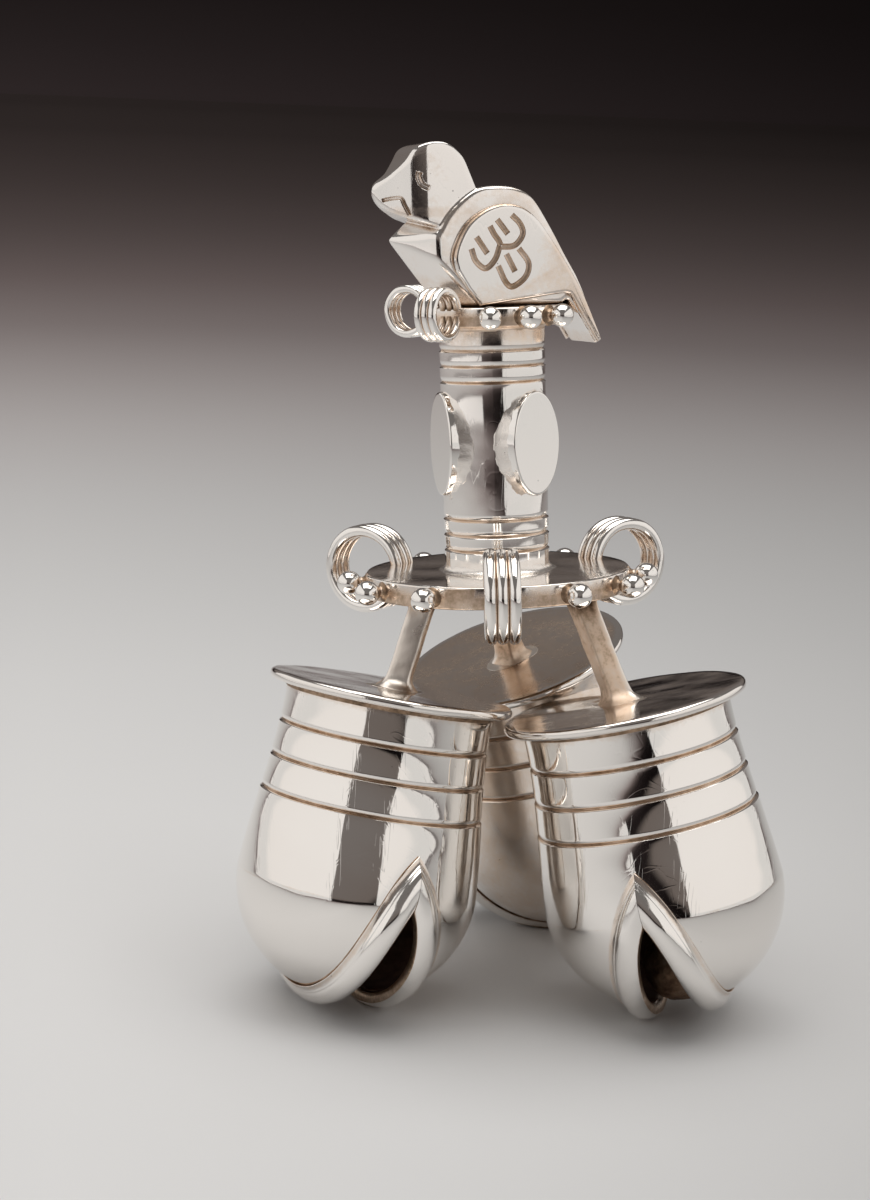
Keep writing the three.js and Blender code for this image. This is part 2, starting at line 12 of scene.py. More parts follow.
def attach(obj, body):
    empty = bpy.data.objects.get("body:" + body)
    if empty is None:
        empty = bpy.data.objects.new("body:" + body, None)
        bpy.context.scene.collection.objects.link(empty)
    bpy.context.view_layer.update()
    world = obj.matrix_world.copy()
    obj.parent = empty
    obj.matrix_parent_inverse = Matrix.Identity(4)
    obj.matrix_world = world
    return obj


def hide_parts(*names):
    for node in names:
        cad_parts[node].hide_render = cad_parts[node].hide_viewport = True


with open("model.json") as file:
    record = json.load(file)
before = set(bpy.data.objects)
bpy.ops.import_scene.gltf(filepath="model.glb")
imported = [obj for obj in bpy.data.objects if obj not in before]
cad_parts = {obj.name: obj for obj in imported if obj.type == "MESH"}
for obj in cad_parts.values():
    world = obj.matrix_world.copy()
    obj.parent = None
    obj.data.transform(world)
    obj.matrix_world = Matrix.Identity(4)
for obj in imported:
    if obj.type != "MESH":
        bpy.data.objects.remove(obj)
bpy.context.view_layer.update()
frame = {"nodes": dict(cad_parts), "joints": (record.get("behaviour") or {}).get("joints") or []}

MM = 0.001
UP = Vector((0, 0, 1))
WORLD = Matrix.Identity(4)
ROOT_BODY = "rattle"

# Sizes in millimetres, as in the solids
GRIP_HEIGHT = 32.1
GRIP_RADIUS = 6.9
GRIP_WALL = 1.2
GRIP_GROOVES = [2.9, 4.95, 7, 24.9, 26.95, 29]
BOSS_HEIGHT = 13.6
BOSS_WIDTH = 9
BOSS_FACE = 7.5
BOSS_RISE = 16.85
LOWER_PLATE_RADIUS = 17.45
LOWER_PLATE_THICKNESS = 2.9
UPPER_PLATE_RADIUS = 9.95
UPPER_PLATE_THICKNESS = 2.5
LOWER_LOOP = {"radius": 5.3, "wire": 0.8, "stand": 2.4}
UPPER_LOOP = {"radius": 3.05, "wire": 0.56, "stand": 2.4}
LOOP_RISE = 0.6
WIRE_SPACING_SHARE = 0.94
LOWER_BEAD_RADIUS = 1.6
UPPER_BEAD_RADIUS = 1.47
BEAD_NECK = 0.6
LID_RADIUS = 16
LID_THICKNESS = 1.2
NECK_RADIUS = 13.7
BOWL_RADIUS = 15.9
BOWL_DEPTH = 15.1
EQUATOR_DROP = 25.9
SHELL_WALL = 0.9
FLARE_POWER = 2.4
BELL_GROOVES = [6.3, 10.75, 15.2]
LIP_HALF_WIDTH = 1.6
LIP_HEIGHT = 1.3
LIP_SPREAD = 4.4
LIP_POWER = 4
LIP_TIP = radians(101)
PELLET_RADIUS = 4.8
LEG_SIDE = 3
SEAT_GAP = 0.25
BIRD_HEIGHT = 21
BODY_WIDTH = 10
HEAD_WIDTH = 9.2
WING_THICKNESS = 1.0

# Sizes of the scene's own detail, in millimetres
GROOVE_DEPTH = 0.38
GROOVE_ROLL = 0.75  # height of the slow roll into a groove, above its deepest line
GROOVE_STEP = 0.22  # height of the crisp edge below that line
EDGE_PROUD = 0.05
EDGE_FADE = 0.8
BELL_FINE_ZONE = 0.95  # how far on either side of a groove the mesh is fine
GRIP_FINE_ZONE = 0.9
GRIP_GROOVE_SHARE = 0.75
MOUTH_TOP = 6  # above the equator, where the mouth surely ends
LIP_COVER = 0.45
LIP_REACH_SHARE = 1.15
MITRE_GAP = 0.02
LID_EDGE = 0.52
PLATE_EDGE = 0.28
LEG_CORNER = 0.35
FOOT_ROUND_SHARE = 0.62
PUDDLE_INNER = 1.0
PUDDLE_OUTER = 3.5
PUDDLE_HEIGHT = 0.6
BEAD_NECK_RADIUS = 0.72
BOSS_BED = 0.85

# Places round the upright, in degrees from +X
LOWER_LOOP_TURN = 272
LOWER_BEAD_TURNS = [30, 60, 90]
BIRD_TURN = 199
UPPER_LOOP_TURNS = [-49, 39]
UPPER_BEAD_TURNS = [-120, -96, -71, 71, 96, 120]
LOOP_SWEEP = radians(172)


# Frames of the bells and of the handle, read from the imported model
def node_points(node):
    mesh = frame["nodes"][node].data
    points = np.empty(len(mesh.vertices) * 3)
    mesh.vertices.foreach_get("co", points)
    return points.reshape(-1, 3)


def node_middle(node):
    return Vector(node_points(node).mean(axis=0))


def placed(x, y, z, origin):
    """A frame in millimetres, from its axes and its origin in metres."""
    rows = [[x[i] * MM, y[i] * MM, z[i] * MM, origin[i]] for i in range(3)]
    return Matrix(rows + [[0, 0, 0, 1]])


def bell_frame(name):
    """Origin in the middle of the lid's top, X along the mouth's hinge, Z out of the lid."""
    joint = next(joint for joint in frame["joints"] if joint["child"] == name + "_pellet")
    x = Vector(joint["axis"]).normalized()
    middle = Vector(joint["pos_m"])
    z = node_middle("lid_" + name) - middle
    z = (z - x * z.dot(x)).normalized()
    return placed(x, z.cross(x), z, middle + z * EQUATOR_DROP * MM)


def handle_frame():
    """Origin in the middle of the lower plate's top, Z up along the grip."""
    lower = node_middle("lower_plate")
    z = (node_middle("upper_plate") - lower).normalized()
    turn = UP.rotation_difference(z)
    x = turn @ Vector((1, 0, 0))
    y = turn @ Vector((0, 1, 0))
    return placed(x, y, z, lower + z * (LOWER_PLATE_THICKNESS / 2) * MM)


def turned(base, degrees, offset=(0, 0, 0)):
    return base @ Matrix.Rotation(radians(degrees), 4, "Z") @ Matrix.Translation(offset)


HANDLE = handle_frame()
BELLS = {name: bell_frame(name) for name in ("left", "right", "rear")}
BIRD_PLACE = turned(HANDLE, BIRD_TURN, (0, 0, GRIP_HEIGHT + UPPER_PLATE_THICKNESS))


# Mesh helpers
def dent(points, size, depth, seed):
    """A slow, hand-made unevenness: an offset in millimetres for each point."""
    shift = Vector((seed * 13.7, seed * 7.3, seed * 3.1))
    return np.array([noise.noise(Vector(p) / size + shift) * depth for p in points])


def near(distance, width):
    """1 where the distance is 0, and less on both sides, by a bell curve of this width."""
    return np.exp(-(distance / width) ** 2)


def smoothstep(low, high, value):
    t = np.clip((value - low) / (high - low), 0, 1)
    return t * t * (3 - 2 * t)


def from_axis(verts):
    """How far each point lies from the Z axis, and the direction in which it does."""
    radial = np.hypot(verts[:, 0], verts[:, 1])
    level = np.stack([verts[:, 0], verts[:, 1], np.zeros(len(verts))], 1)
    return radial, level / np.maximum(radial, 1e-6)[:, None]


def ring_faces(rows, columns):
    """Faces between rings of points that follow each other."""
    faces = []
    for i in range(rows - 1):
        for j in range(columns):
            k = (j + 1) % columns
            faces.append((i * columns + j, i * columns + k, (i + 1) * columns + k, (i + 1) * columns + j))
    return faces


def tube_faces(rows, columns, flip=False):
    """Faces between rings, and a face over each end, which flip turns round."""
    ends = [tuple(range(columns - 1, -1, -1)), tuple(range((rows - 1) * columns, rows * columns))]
    if flip:
        ends = [face[::-1] for face in ends]
    return ring_faces(rows, columns) + ends


def lathe(profile, sides, closed=False):
    """Points of a profile [(radius, height)] turned about Z, and their faces. Ends on the axis close themselves."""
    start_pole = profile[0][0] < 1e-9
    end_pole = profile[-1][0] < 1e-9
    rings = profile[(1 if start_pole else 0):(-1 if end_pole else None)]
    angles = np.linspace(0, 2 * pi, sides, endpoint=False)
    verts = [(r * cos(a), r * sin(a), z) for r, z in rings for a in angles]
    faces = ring_faces(len(rings), sides)
    last = (len(rings) - 1) * sides
    pairs = [(j, (j + 1) % sides) for j in range(sides)]
    if closed:
        faces += [(last + j, last + k, k, j) for j, k in pairs]
    if start_pole:
        faces += [(k, j, len(verts)) for j, k in pairs]
        verts.append((0, 0, profile[0][1]))
    if end_pole:
        faces += [(last + j, last + k, len(verts)) for j, k in pairs]
        verts.append((0, 0, profile[-1][1]))
    return np.array(verts), faces


def arc(x, y, x_radius, y_radius, start, end, steps):
    """Points on an arc of a circle or an ellipse round (x, y), from one angle to another in degrees."""
    angles = [radians(start + (end - start) * k / steps) for k in range(steps + 1)]
    return [(x + x_radius * cos(a), y + y_radius * sin(a)) for a in angles]


def polyline(points, step):
    """Points along a broken line, about as far apart as step."""
    result = []
    for a, b in zip(points, points[1:]):
        count = max(1, int(hypot(b[0] - a[0], b[1] - a[1]) / step))
        result += [(a[0] + (b[0] - a[0]) * i / count, a[1] + (b[1] - a[1]) * i / count) for i in range(count)]
    return result + [points[-1]]


def smooth_curve(points, per_span=8, closed=False):
    """A Catmull-Rom curve through 2D points."""
    points = [Vector(p) for p in points]
    if closed:
        row = points[-1:] + points + points[:2]
    else:
        row = [points[0] * 2 - points[1], *points, points[-1] * 2 - points[-2]]
    result = []
    for p0, p1, p2, p3 in zip(row, row[1:], row[2:], row[3:]):
        for k in range(per_span):
            t = k / per_span
            result.append(0.5 * (2 * p1 + (p2 - p0) * t + (2 * p0 - 5 * p1 + 4 * p2 - p3) * t * t
                                 + (3 * p1 - p0 - 3 * p2 + p3) * t ** 3))
    return result if closed else result + [points[-1]]


def inset(outline, distance):
    """A closed outline moved inwards along its normals. The outline runs counter-clockwise."""
    points = [Vector(p) for p in outline]
    result = []
    for i, p in enumerate(points):
        ahead = (points[(i + 1) % len(points)] - points[i - 1]).normalized()
        result.append(p + Vector((-ahead.y, ahead.x)) * distance)
    return result


def plate(outline, low, high, edge):
    """A flat plate over a closed outline, from height low to high, with quarter-round edges."""
    turns = [k / 5 * pi / 2 for k in range(6)]
    flat = inset(outline, edge + edge * 0.35)
    rings = [(flat, low)]
    rings += [(inset(outline, edge * (1 - sin(a))), low + edge * (1 - cos(a))) for a in turns]
    rings += [(inset(outline, edge * (1 - cos(a))), high - edge * (1 - sin(a))) for a in turns]
    rings.append((flat, high))
    verts = [(p.x, p.y, z) for ring, z in rings for p in ring]
    return np.array(verts), tube_faces(len(rings), len(outline))


def new_mesh(name, verts, faces):
    mesh = bpy.data.meshes.new(name)
    mesh.from_pydata([tuple(v) for v in verts], [], faces)
    return mesh


def add_object(name, data):
    made = bpy.data.objects.new(name, data)
    bpy.context.scene.collection.objects.link(made)
    return made


# The tarnish_and_reflection attribute holds tarnish, and on the bells' inner sides and the legs' faces it also
# holds painted reflection.
def paint_tarnish_and_reflection(mesh, values):
    attribute = mesh.attributes.new("tarnish_and_reflection", "FLOAT", "POINT")
    attribute.data.foreach_set("value", np.asarray(values, np.float32))


def shade_smooth(mesh):
    mesh.polygons.foreach_set("use_smooth", [True] * len(mesh.polygons))


def thicken(made, thickness):
    """Gives a surface a wall, on its inner side."""
    wall = made.modifiers.new("wall", "SOLIDIFY")
    wall.thickness = thickness * MM
    wall.offset = -1
    return wall


def finish_piece(made, nodes, body=ROOT_BODY, slot="silver"):
    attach(made, body)
    if nodes:
        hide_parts(*nodes)


def piece(name, verts, faces, matrix, material, nodes, tarnish_and_painted_reflection=None, sharp=35, **riding):
    """A visible piece. tarnish_and_painted_reflection is its tarnish at each point, with painted reflection on some
    pieces; sharp is the least angle in degrees of a crisp edge.
    """
    mesh = new_mesh(name, verts, faces)
    mesh.transform(matrix)
    mesh.validate()
    if tarnish_and_painted_reflection is not None:
        paint_tarnish_and_reflection(mesh, tarnish_and_painted_reflection)
    shade_smooth(mesh)
    mesh.set_sharp_from_angle(angle=radians(sharp))
    mesh.materials.append(material)
    made = add_object(name, mesh)
    finish_piece(made, nodes, **riding)
    return made


# Materials
class Nodes:
    """A node tree, with short ways to add nodes to it."""

    def __init__(self, owner):
        owner.use_nodes = True
        self.tree = owner.node_tree
        self.tree.nodes.clear()

    def add(self, kind, inputs=None, **settings):
        """A new node. inputs holds a constant or another node's output for each socket, by name or number."""
        made = self.tree.nodes.new("ShaderNode" + kind)
        for key, value in settings.items():
            setattr(made, key, value)
        for key, value in (inputs or {}).items():
            if isinstance(value, bpy.types.NodeSocket):
                self.tree.links.new(value, made.inputs[key])
            else:
                made.inputs[key].default_value = value
        return made

    def math(self, operation, a, b, **settings):
        return self.add("Math", {0: a, 1: b}, operation=operation, **settings).outputs[0]

    def plus(self, a, b):
        return self.math("ADD", a, b)

    def times(self, a, b):
        return self.math("MULTIPLY", a, b)

    def vector_math(self, operation, inputs):
        return self.add("VectorMath", inputs, operation=operation).outputs

    def ramp(self, value, stops):
        """A grey level or a colour for each value, from stops [(place, level)]."""
        made = self.add("ValToRGB", {0: value})
        elements = made.color_ramp.elements
        while len(elements) < len(stops):
            elements.new(0.5)
        for element, (position, level) in zip(elements, stops):
            element.position = position
            element.color = (*(level if isinstance(level, tuple) else (level, level, level)), 1)
        return made.outputs[0]

    def noise(self, vector, scale, detail, roughness=0.55):
        inputs = {"Vector": vector, "Scale": scale, "Detail": detail, "Roughness": roughness}
        return self.add("TexNoise", inputs).outputs["Fac"]

    def mix(self, factor, a, b):
        """Colour a where the factor is 0, colour b where it is 1."""
        a, b = [(*colour, 1) if isinstance(colour, tuple) else colour for colour in (a, b)]
        return self.add("Mix", {0: factor, 6: a, 7: b}, data_type="RGBA").outputs[2]

    def bump(self, height, strength, distance):
        return self.add("Bump", {"Height": height, "Strength": strength, "Distance": distance}).outputs[0]

    def surface(self, kind, inputs, output="OutputMaterial"):
        """The shader that shows."""
        self.add(output, {"Surface": self.add(kind, inputs).outputs[0]})


def new_material(name):
    material = bpy.data.materials.new(name)
    nodes = Nodes(material)
    return material, nodes, nodes.add("TexCoord").outputs["Object"]


NOOK_REACH = 0.0012
SCRATCH_DEPTH = 0.05
# Fine scratches in two directions: turn of their noise, its stretch, and how thin they are
SCRATCHES = [((0.4, 0.2, 0.9), (900, 90, 90), 0.015), ((1.3, 0.7, 0.1), (90, 1100, 110), 0.013)]
TARNISH_TONES = [(0.3, (0.62, 0.40, 0.25)), (0.7, (0.80, 0.60, 0.42))]
TARNISH_DARK = (0.10, 0.062, 0.04)
SPECK_DARK = (0.09, 0.07, 0.06)


def silver(name, clean, rough, tarnish_and_reflection_strength=1.0, specks=0.4, grain=0.0):
    """Polished silver, brown where the tarnish_and_reflection attribute and the nooks say: tarnish, and on some
    pieces painted reflection. grain pits it, as solder is.
    """
    material, nodes, where = new_material(name)
    painted = nodes.add("Attribute", attribute_type="GEOMETRY", attribute_name="tarnish_and_reflection").outputs["Fac"]
    openness = nodes.add("AmbientOcclusion", {"Distance": NOOK_REACH}, samples=6).outputs["AO"]
    nook = nodes.ramp(nodes.math("SUBTRACT", 1.0, openness), [(0.3, 0.0), (0.72, 1.0)])
    amount = nodes.math("MAXIMUM", painted, nodes.times(nook, 0.75))
    fine = nodes.noise(where, 1500, 6, 0.65)
    patch = nodes.plus(nodes.times(nodes.noise(where, 260, 5), 0.6), nodes.times(fine, 0.6))
    lifted = nodes.math("SUBTRACT", nodes.plus(nodes.times(amount, 1.35), patch), 0.86)
    lifted = nodes.times(lifted, tarnish_and_reflection_strength)
    brown = nodes.ramp(lifted, [(0.0, 0.0), (0.75, 1.0)])
    dark = nodes.ramp(lifted, [(0.5, 0.0), (1.1 / 1.2, 1.0)])
    dots = nodes.add("TexVoronoi", {"Vector": where, "Scale": 900}).outputs["Distance"]
    few = nodes.ramp(nodes.noise(where, 420, 2), [(0.60, 0.0), (0.66, 1.0)])
    spot = nodes.times(nodes.times(nodes.ramp(dots, [(0.05, 1.0), (0.11, 0.0)]), few), specks)
    colour = nodes.mix(brown, clean, nodes.ramp(fine, TARNISH_TONES))
    colour = nodes.mix(dark, colour, TARNISH_DARK)
    colour = nodes.mix(spot, colour, SPECK_DARK)
    haze = nodes.ramp(nodes.noise(where, 90, 3), [(0.35, rough), (0.75, rough + 0.05)])
    roughness = nodes.plus(haze, nodes.times(brown, 0.32))
    roughness = nodes.math("ADD", roughness, nodes.times(spot, 0.3), use_clamp=True)
    hairs = []
    for turn, stretch, thin in SCRATCHES:
        along = nodes.add("Mapping", {"Vector": where, "Rotation": turn, "Scale": stretch}).outputs[0]
        hairs.append(nodes.ramp(nodes.noise(along, 1, 2), [(0.5 - thin, 0.0), (0.5, 1.0), (0.5 + thin, 0.0)]))
    height = nodes.plus(nodes.times(nodes.plus(*hairs), -SCRATCH_DEPTH), nodes.times(brown, -0.25))
    if grain:
        height = nodes.plus(height, nodes.times(nodes.noise(where, 2600, 5, 0.7), grain))
    height = nodes.plus(height, nodes.times(nodes.times(fine, brown), 0.5))
    nodes.surface("BsdfPrincipled", {"Metallic": 1, "Base Color": colour, "Roughness": roughness,
                                     "Normal": nodes.bump(height, 0.35, 0.0001)})
    return material


def pellet_material():
    """Rough brown copper."""
    material, nodes, where = new_material("pellet_copper")
    fine = nodes.noise(where, 2200, 5, 0.7)
    tones = [(0.32, (0.10, 0.055, 0.035)), (0.5, (0.30, 0.19, 0.12)), (0.7, (0.46, 0.36, 0.28))]
    nodes.surface("BsdfPrincipled", {
        "Metallic": 0.75, "Base Color": nodes.ramp(nodes.noise(where, 380, 6, 0.6), tones),
        "Roughness": nodes.ramp(fine, [(0.3, 0.45), (0.7, 0.75)]), "Normal": nodes.bump(fine, 0.8, 0.00015)})
    return material


def inside_material():
    """The unpolished inside of a bell: rough and dark red-brown."""
    material, nodes, where = new_material("inside_silver")
    tones = [(0.35, (0.11, 0.05, 0.032)), (0.68, (0.27, 0.15, 0.10))]
    colour = nodes.ramp(nodes.noise(where, 420, 5, 0.6), tones)
    nodes.surface("BsdfPrincipled", {"Metallic": 0.4, "Roughness": 0.55, "Base Color": colour})
    return material


CLEAN = (0.915, 0.885, 0.85)
BELL_SILVER = silver("bell_silver", CLEAN, 0.035)
PLATE_SILVER = silver("plate_silver", (0.88, 0.84, 0.80), 0.05)
GRIP_SILVER = silver("grip_silver", CLEAN, 0.05)
BIRD_SILVER = silver("bird_silver", (0.90, 0.865, 0.83), 0.07, specks=0.9)
WIRE_SILVER = silver("wire_silver", CLEAN, 0.06)
LEG_SILVER = silver("leg_silver", (0.86, 0.79, 0.72), 0.27, tarnish_and_reflection_strength=1.15)
SOLDER = silver("solder", (0.88, 0.83, 0.78), 0.24, grain=1.0)
LIP_SILVER = silver("lip_silver", CLEAN, 0.075, specks=0.5)
COPPER = pellet_material()
INSIDE_SILVER = inside_material()
# Painted reflection on the side of each bell that looks to the middle of the tripod: brown there stands in for the
# other bells, which that side mirrors. LID_TARNISH holds the tarnish on each lid.
SIDE_PAINTED_REFLECTION = {"left": 0.38, "right": 0.3, "rear": 0.42}
LID_TARNISH = {"left": 0.18, "right": 0.18, "rear": 0.46}


# Bells
def bell_radius(drop):
    """The bell's outer radius at a depth below its lid's top."""
    if drop >= EQUATOR_DROP:
        share = min((drop - EQUATOR_DROP) / BOWL_DEPTH, 1)
        return BOWL_RADIUS * sqrt(1 - share * share)
    share = max(drop - LID_THICKNESS, 0) / (EQUATOR_DROP - LID_THICKNESS)
    flare = 0.6 * sin(share * pi / 2) ** FLARE_POWER + 0.4 * share ** 2
    return NECK_RADIUS + (BOWL_RADIUS - NECK_RADIUS) * flare


def groove_shape(below):
    """Change of a wall's radius below a groove's deepest line: a slow roll in from above, then a crisp edge."""
    if below < -GROOVE_ROLL:
        return 0.0
    if below < 0:
        return -GROOVE_DEPTH * (1 + below / GROOVE_ROLL) ** 2
    if below < GROOVE_STEP:
        return -GROOVE_DEPTH * (1 - below / GROOVE_STEP)
    return EDGE_PROUD * exp(-(below - GROOVE_STEP) / EDGE_FADE)


def wall_step(place, grooves, zone):
    """Height of a wall's next ring: low close to a groove."""
    return 0.06 if min(abs(place - g) for g in grooves) < zone else 0.3


def bell_profile():
    """Outer profile from the bottom up: a smooth bowl, then the wall with its three grooves."""
    points = arc(0, -EQUATOR_DROP, BOWL_RADIUS, BOWL_DEPTH, -90, 0, 64)
    drop = EQUATOR_DROP
    while drop > LID_THICKNESS + 0.01:
        drop = max(drop - wall_step(drop, BELL_GROOVES, BELL_FINE_ZONE), LID_THICKNESS)
        points.append((bell_radius(drop) + sum(groove_shape(drop - g) for g in BELL_GROOVES), -drop))
    return points


def mouth_angle(point):
    """Angle from the bottom of the bowl along the mouth, for a point on the bell's outside."""
    x, y, z = point
    if z <= -EQUATOR_DROP:
        return atan2(abs(y) / BOWL_RADIUS, (-z - EQUATOR_DROP) / BOWL_DEPTH)
    width = sqrt(max(1 - (x / BOWL_RADIUS) ** 2, 1e-6))
    return acos(max(-1, min(1, (-z - EQUATOR_DROP) / (BOWL_DEPTH * width))))


def lip_offset(angle):
    """How far the middle of a lip lies from the mouth's middle line."""
    return LIP_SPREAD * (1 - abs(angle / LIP_TIP) ** LIP_POWER)


def bell_point(angle, across):
    """The point of the bell's outside at a mouth angle, and at a distance from the mouth's middle line."""
    width = sqrt(1 - (across / BOWL_RADIUS) ** 2)
    drop = EQUATOR_DROP + BOWL_DEPTH * width * cos(angle)
    if abs(angle) <= pi / 2:
        return Vector((across, BOWL_RADIUS * width * sin(angle), -drop))
    along = sqrt(bell_radius(drop) ** 2 - across ** 2)
    return Vector((across, copysign(along, angle), -drop))


def bell_normal(point):
    drop = -point.z
    if drop >= EQUATOR_DROP:
        up = (point.z + EQUATOR_DROP) / BOWL_DEPTH ** 2
        return Vector((point.x / BOWL_RADIUS ** 2, point.y / BOWL_RADIUS ** 2, up)).normalized()
    slope = (bell_radius(drop + 0.01) - bell_radius(drop - 0.01)) / 0.02
    radius = hypot(point.x, point.y)
    return Vector((point.x / radius, point.y / radius, slope)).normalized()


def cut_slit(points, faces):
    """Leaves out the faces under the mouth, back to a line that the lips cover."""
    inside = [p[2] <= -EQUATOR_DROP + MOUTH_TOP and abs(p[0]) < lip_offset(mouth_angle(p)) - LIP_COVER
              for p in points]
    return [face for face in faces if not all(inside[v] for v in face)]


def inner_side(outward, matrix):
    """How far each direction looks to the middle of the tripod, from 0 to 1: there a bell mirrors the other bells,
    and their brown is painted on as a reflection.
    """
    turn = np.array(matrix.to_3x3()) / MM
    towards = -np.array(matrix.translation)
    towards[2] = 0
    towards /= np.linalg.norm(towards)
    return smoothstep(0.15, 0.75, outward @ turn.T @ towards)


def shell_piece(name, matrix, seed):
    verts, faces = lathe(bell_profile(), 224)
    faces = cut_slit(verts, faces)
    radial, outward = from_axis(verts)
    bumps = dent(verts, 9, 0.09, seed) + dent(verts, 3.2, 0.018, seed + 4) - 0.1
    verts = verts + outward * (bumps * smoothstep(0.5, 6, radial))[:, None]
    drops = -verts[:, 2]
    from_lip = np.array([abs(abs(v[0]) - lip_offset(mouth_angle(v)) - LIP_HALF_WIDTH) for v in verts])
    tarnish_and_painted_reflection = np.maximum.reduce([
        0.5 * near(drops - LID_THICKNESS, 1.3),
        *(0.72 * near(drops - groove + 0.08, 0.27) for groove in BELL_GROOVES),
        0.25 * near(drops - EQUATOR_DROP, 0.09),
        np.where(drops > EQUATOR_DROP - 5, 0.42 * near(from_lip, 0.8), 0),
        # painted reflection of the other bells, on the side that looks to the middle of the tripod
        SIDE_PAINTED_REFLECTION[name] * inner_side(outward, matrix),
    ])
    made = piece("shell_metal_" + name, verts, faces, matrix, BELL_SILVER, ["shell_" + name], tarnish_and_painted_reflection)
    made.data.materials.append(INSIDE_SILVER)
    wall = thicken(made, SHELL_WALL)
    wall.material_offset = 1
    wall.material_offset_rim = 1


def lip_section():
    """A half-round with a solder toe on its outer side and a rolled inner edge: (away from the mouth, out)."""
    toe = [(2.45, -0.12), (2.1, 0.03), (1.8, 0.2), (1.62, 0.45)]
    back = arc(0, 0.1, LIP_HALF_WIDTH, LIP_HEIGHT - 0.1, 18, 180, 12)
    inner = [(-1.58, -0.35), (-1.4, -0.75), (-1.0, -1.0), (-0.3, -1.05), (0.6, -0.9), (1.6, -0.6)]
    return smooth_curve(toe + back + inner, 3, closed=True)


def mitred(points, side):
    """Stops each line of a bar where it reaches the mitre. The points beyond move to that place, and numbers
    says which point each one has become."""
    rows, columns = points.shape[:2]
    numbers = np.arange(rows * columns).reshape(rows, columns)
    for order in (np.arange(rows // 2, rows), np.arange(rows // 2, -1, -1)):
        for column in range(columns):
            x = points[order, column, 0] * side
            beyond = np.flatnonzero(x[1:] < MITRE_GAP) + 1
            if len(beyond):
                first = beyond[0]
                share = (x[first - 1] - MITRE_GAP) / (x[first - 1] - x[first])
                before, after = points[order[first - 1], column], points[order[first], column]
                points[order[first:], column] = before * (1 - share) + after * share
                numbers[order[first:], column] = numbers[order[first], column]
    return points, numbers.reshape(-1)


def joined_faces(faces, numbers):
    """Faces over points that have become one, and the points they use. Doubled corners go, and so do faces
    with fewer than three corners left."""
    result = []
    for face in faces:
        corners = [numbers[v] for v in face]
        kept = [v for i, v in enumerate(corners) if v != corners[i - 1]]
        if len(kept) > 2:
            result.append(kept)
    used = sorted({v for face in result for v in face})
    place = {v: i for i, v in enumerate(used)}
    return [tuple(place[v] for v in face) for face in result], used


def lip_piece(name, label, side, matrix, seed):
    """A bar along one side of the mouth, bent over the bowl's surface."""
    section = lip_section()
    rows = 150
    verts = []
    tarnish_and_painted_reflection = []
    for i in range(rows + 1):
        angle = (2 * i / rows - 1) * LIP_TIP * LIP_REACH_SHARE
        middle, before, after = (bell_point(a, side * lip_offset(a)) for a in (angle, angle - 0.01, angle + 0.01))
        out = bell_normal(middle)
        across = out.cross((after - before).normalized()) * side
        if across.x * side < 0:
            across = -across
        for p in section:
            toe = near(p.x - 2.15, 0.45) if p.y < 0.7 else 0.0
            crook = near(p.x + 1.5, 0.4) if p.y < 0.45 else 0.0
            tarnish_and_painted_reflection.append(max(0.42 * toe, 0.7 * crook))
            verts.append(middle + across * p.x + out * (p.y + SEAT_GAP / 2))
    verts = np.array(verts)
    bumps = dent(verts, 5, 0.16, seed) + dent(verts, 1.6, 0.035, seed + 9)
    outward = verts - np.array([0, 0, -EQUATOR_DROP])
    outward /= np.linalg.norm(outward, axis=1)[:, None]
    verts = verts + outward * (bumps * 0.5)[:, None]
    grid, numbers = mitred(verts.reshape(rows + 1, len(section), 3), side)
    world = np.array([matrix @ Vector(v) for v in grid.reshape(-1, 3)])
    world[:, 2] = np.maximum(world[:, 2], 0.00002)
    faces, used = joined_faces(tube_faces(rows + 1, len(section)), numbers)
    if side < 0:
        faces = [face[::-1] for face in faces]
    node = f"lip_{name}_{label}"
    piece("mouth_" + node, world[used], faces, WORLD, LIP_SILVER, [node], np.array(tarnish_and_painted_reflection)[used], 50)


def disc_profile(radius, thickness, edge):
    """Profile of a thick disc, top at 0, from the middle of its underside to the middle of its top."""
    low_edge = arc(radius - edge, edge - thickness, edge, edge, -90, 0, 7)
    high_edge = arc(radius - edge, -edge, edge, edge, 0, 90, 7)
    return polyline([(0, -thickness), *low_edge, *high_edge, (0, 0)], 0.9)


def lid_piece(name, matrix, seed):
    verts, faces = lathe(disc_profile(LID_RADIUS, LID_THICKNESS, LID_EDGE), 192)
    verts[:, 2] += dent(verts, 7, 0.07, seed) + dent(verts, 2.5, 0.015, seed + 2)
    radial, _ = from_axis(verts)
    on_top = np.maximum(0.4 * near(radial - 1.5, 3.2), LID_TARNISH[name])
    flat = np.where(verts[:, 2] > -LID_THICKNESS / 2, on_top, 0.8)
    tarnish_and_painted_reflection = np.where(radial > LID_RADIUS - 0.55, 0.04, flat)
    piece("lid_metal_" + name, verts, faces, matrix, PLATE_SILVER, ["lid_" + name], tarnish_and_painted_reflection)


def cove_piece(name, matrix, inner, width, height, top, seed, tarnish_and_painted_reflection):
    """A ring of solder round a wall of radius inner, in the corner under a flat (top) or over it."""
    sign = -1 if top else 1
    profile = arc(inner + width, sign * height, width, -sign * height, 90, 180, 8)
    profile += [(inner - 0.2, sign * height), (inner - 0.2, -sign * 0.05), (inner + width, -sign * 0.05)]
    verts, faces = lathe(profile[::sign], 120, closed=True)
    grainy = dent(verts, 0.9, 0.05, seed) + dent(verts, 2.8, 0.12, seed + 3)
    verts = verts + from_axis(verts)[1] * grainy[:, None]
    piece(name, verts, faces, matrix, SOLDER, [], np.full(len(verts), tarnish_and_painted_reflection))


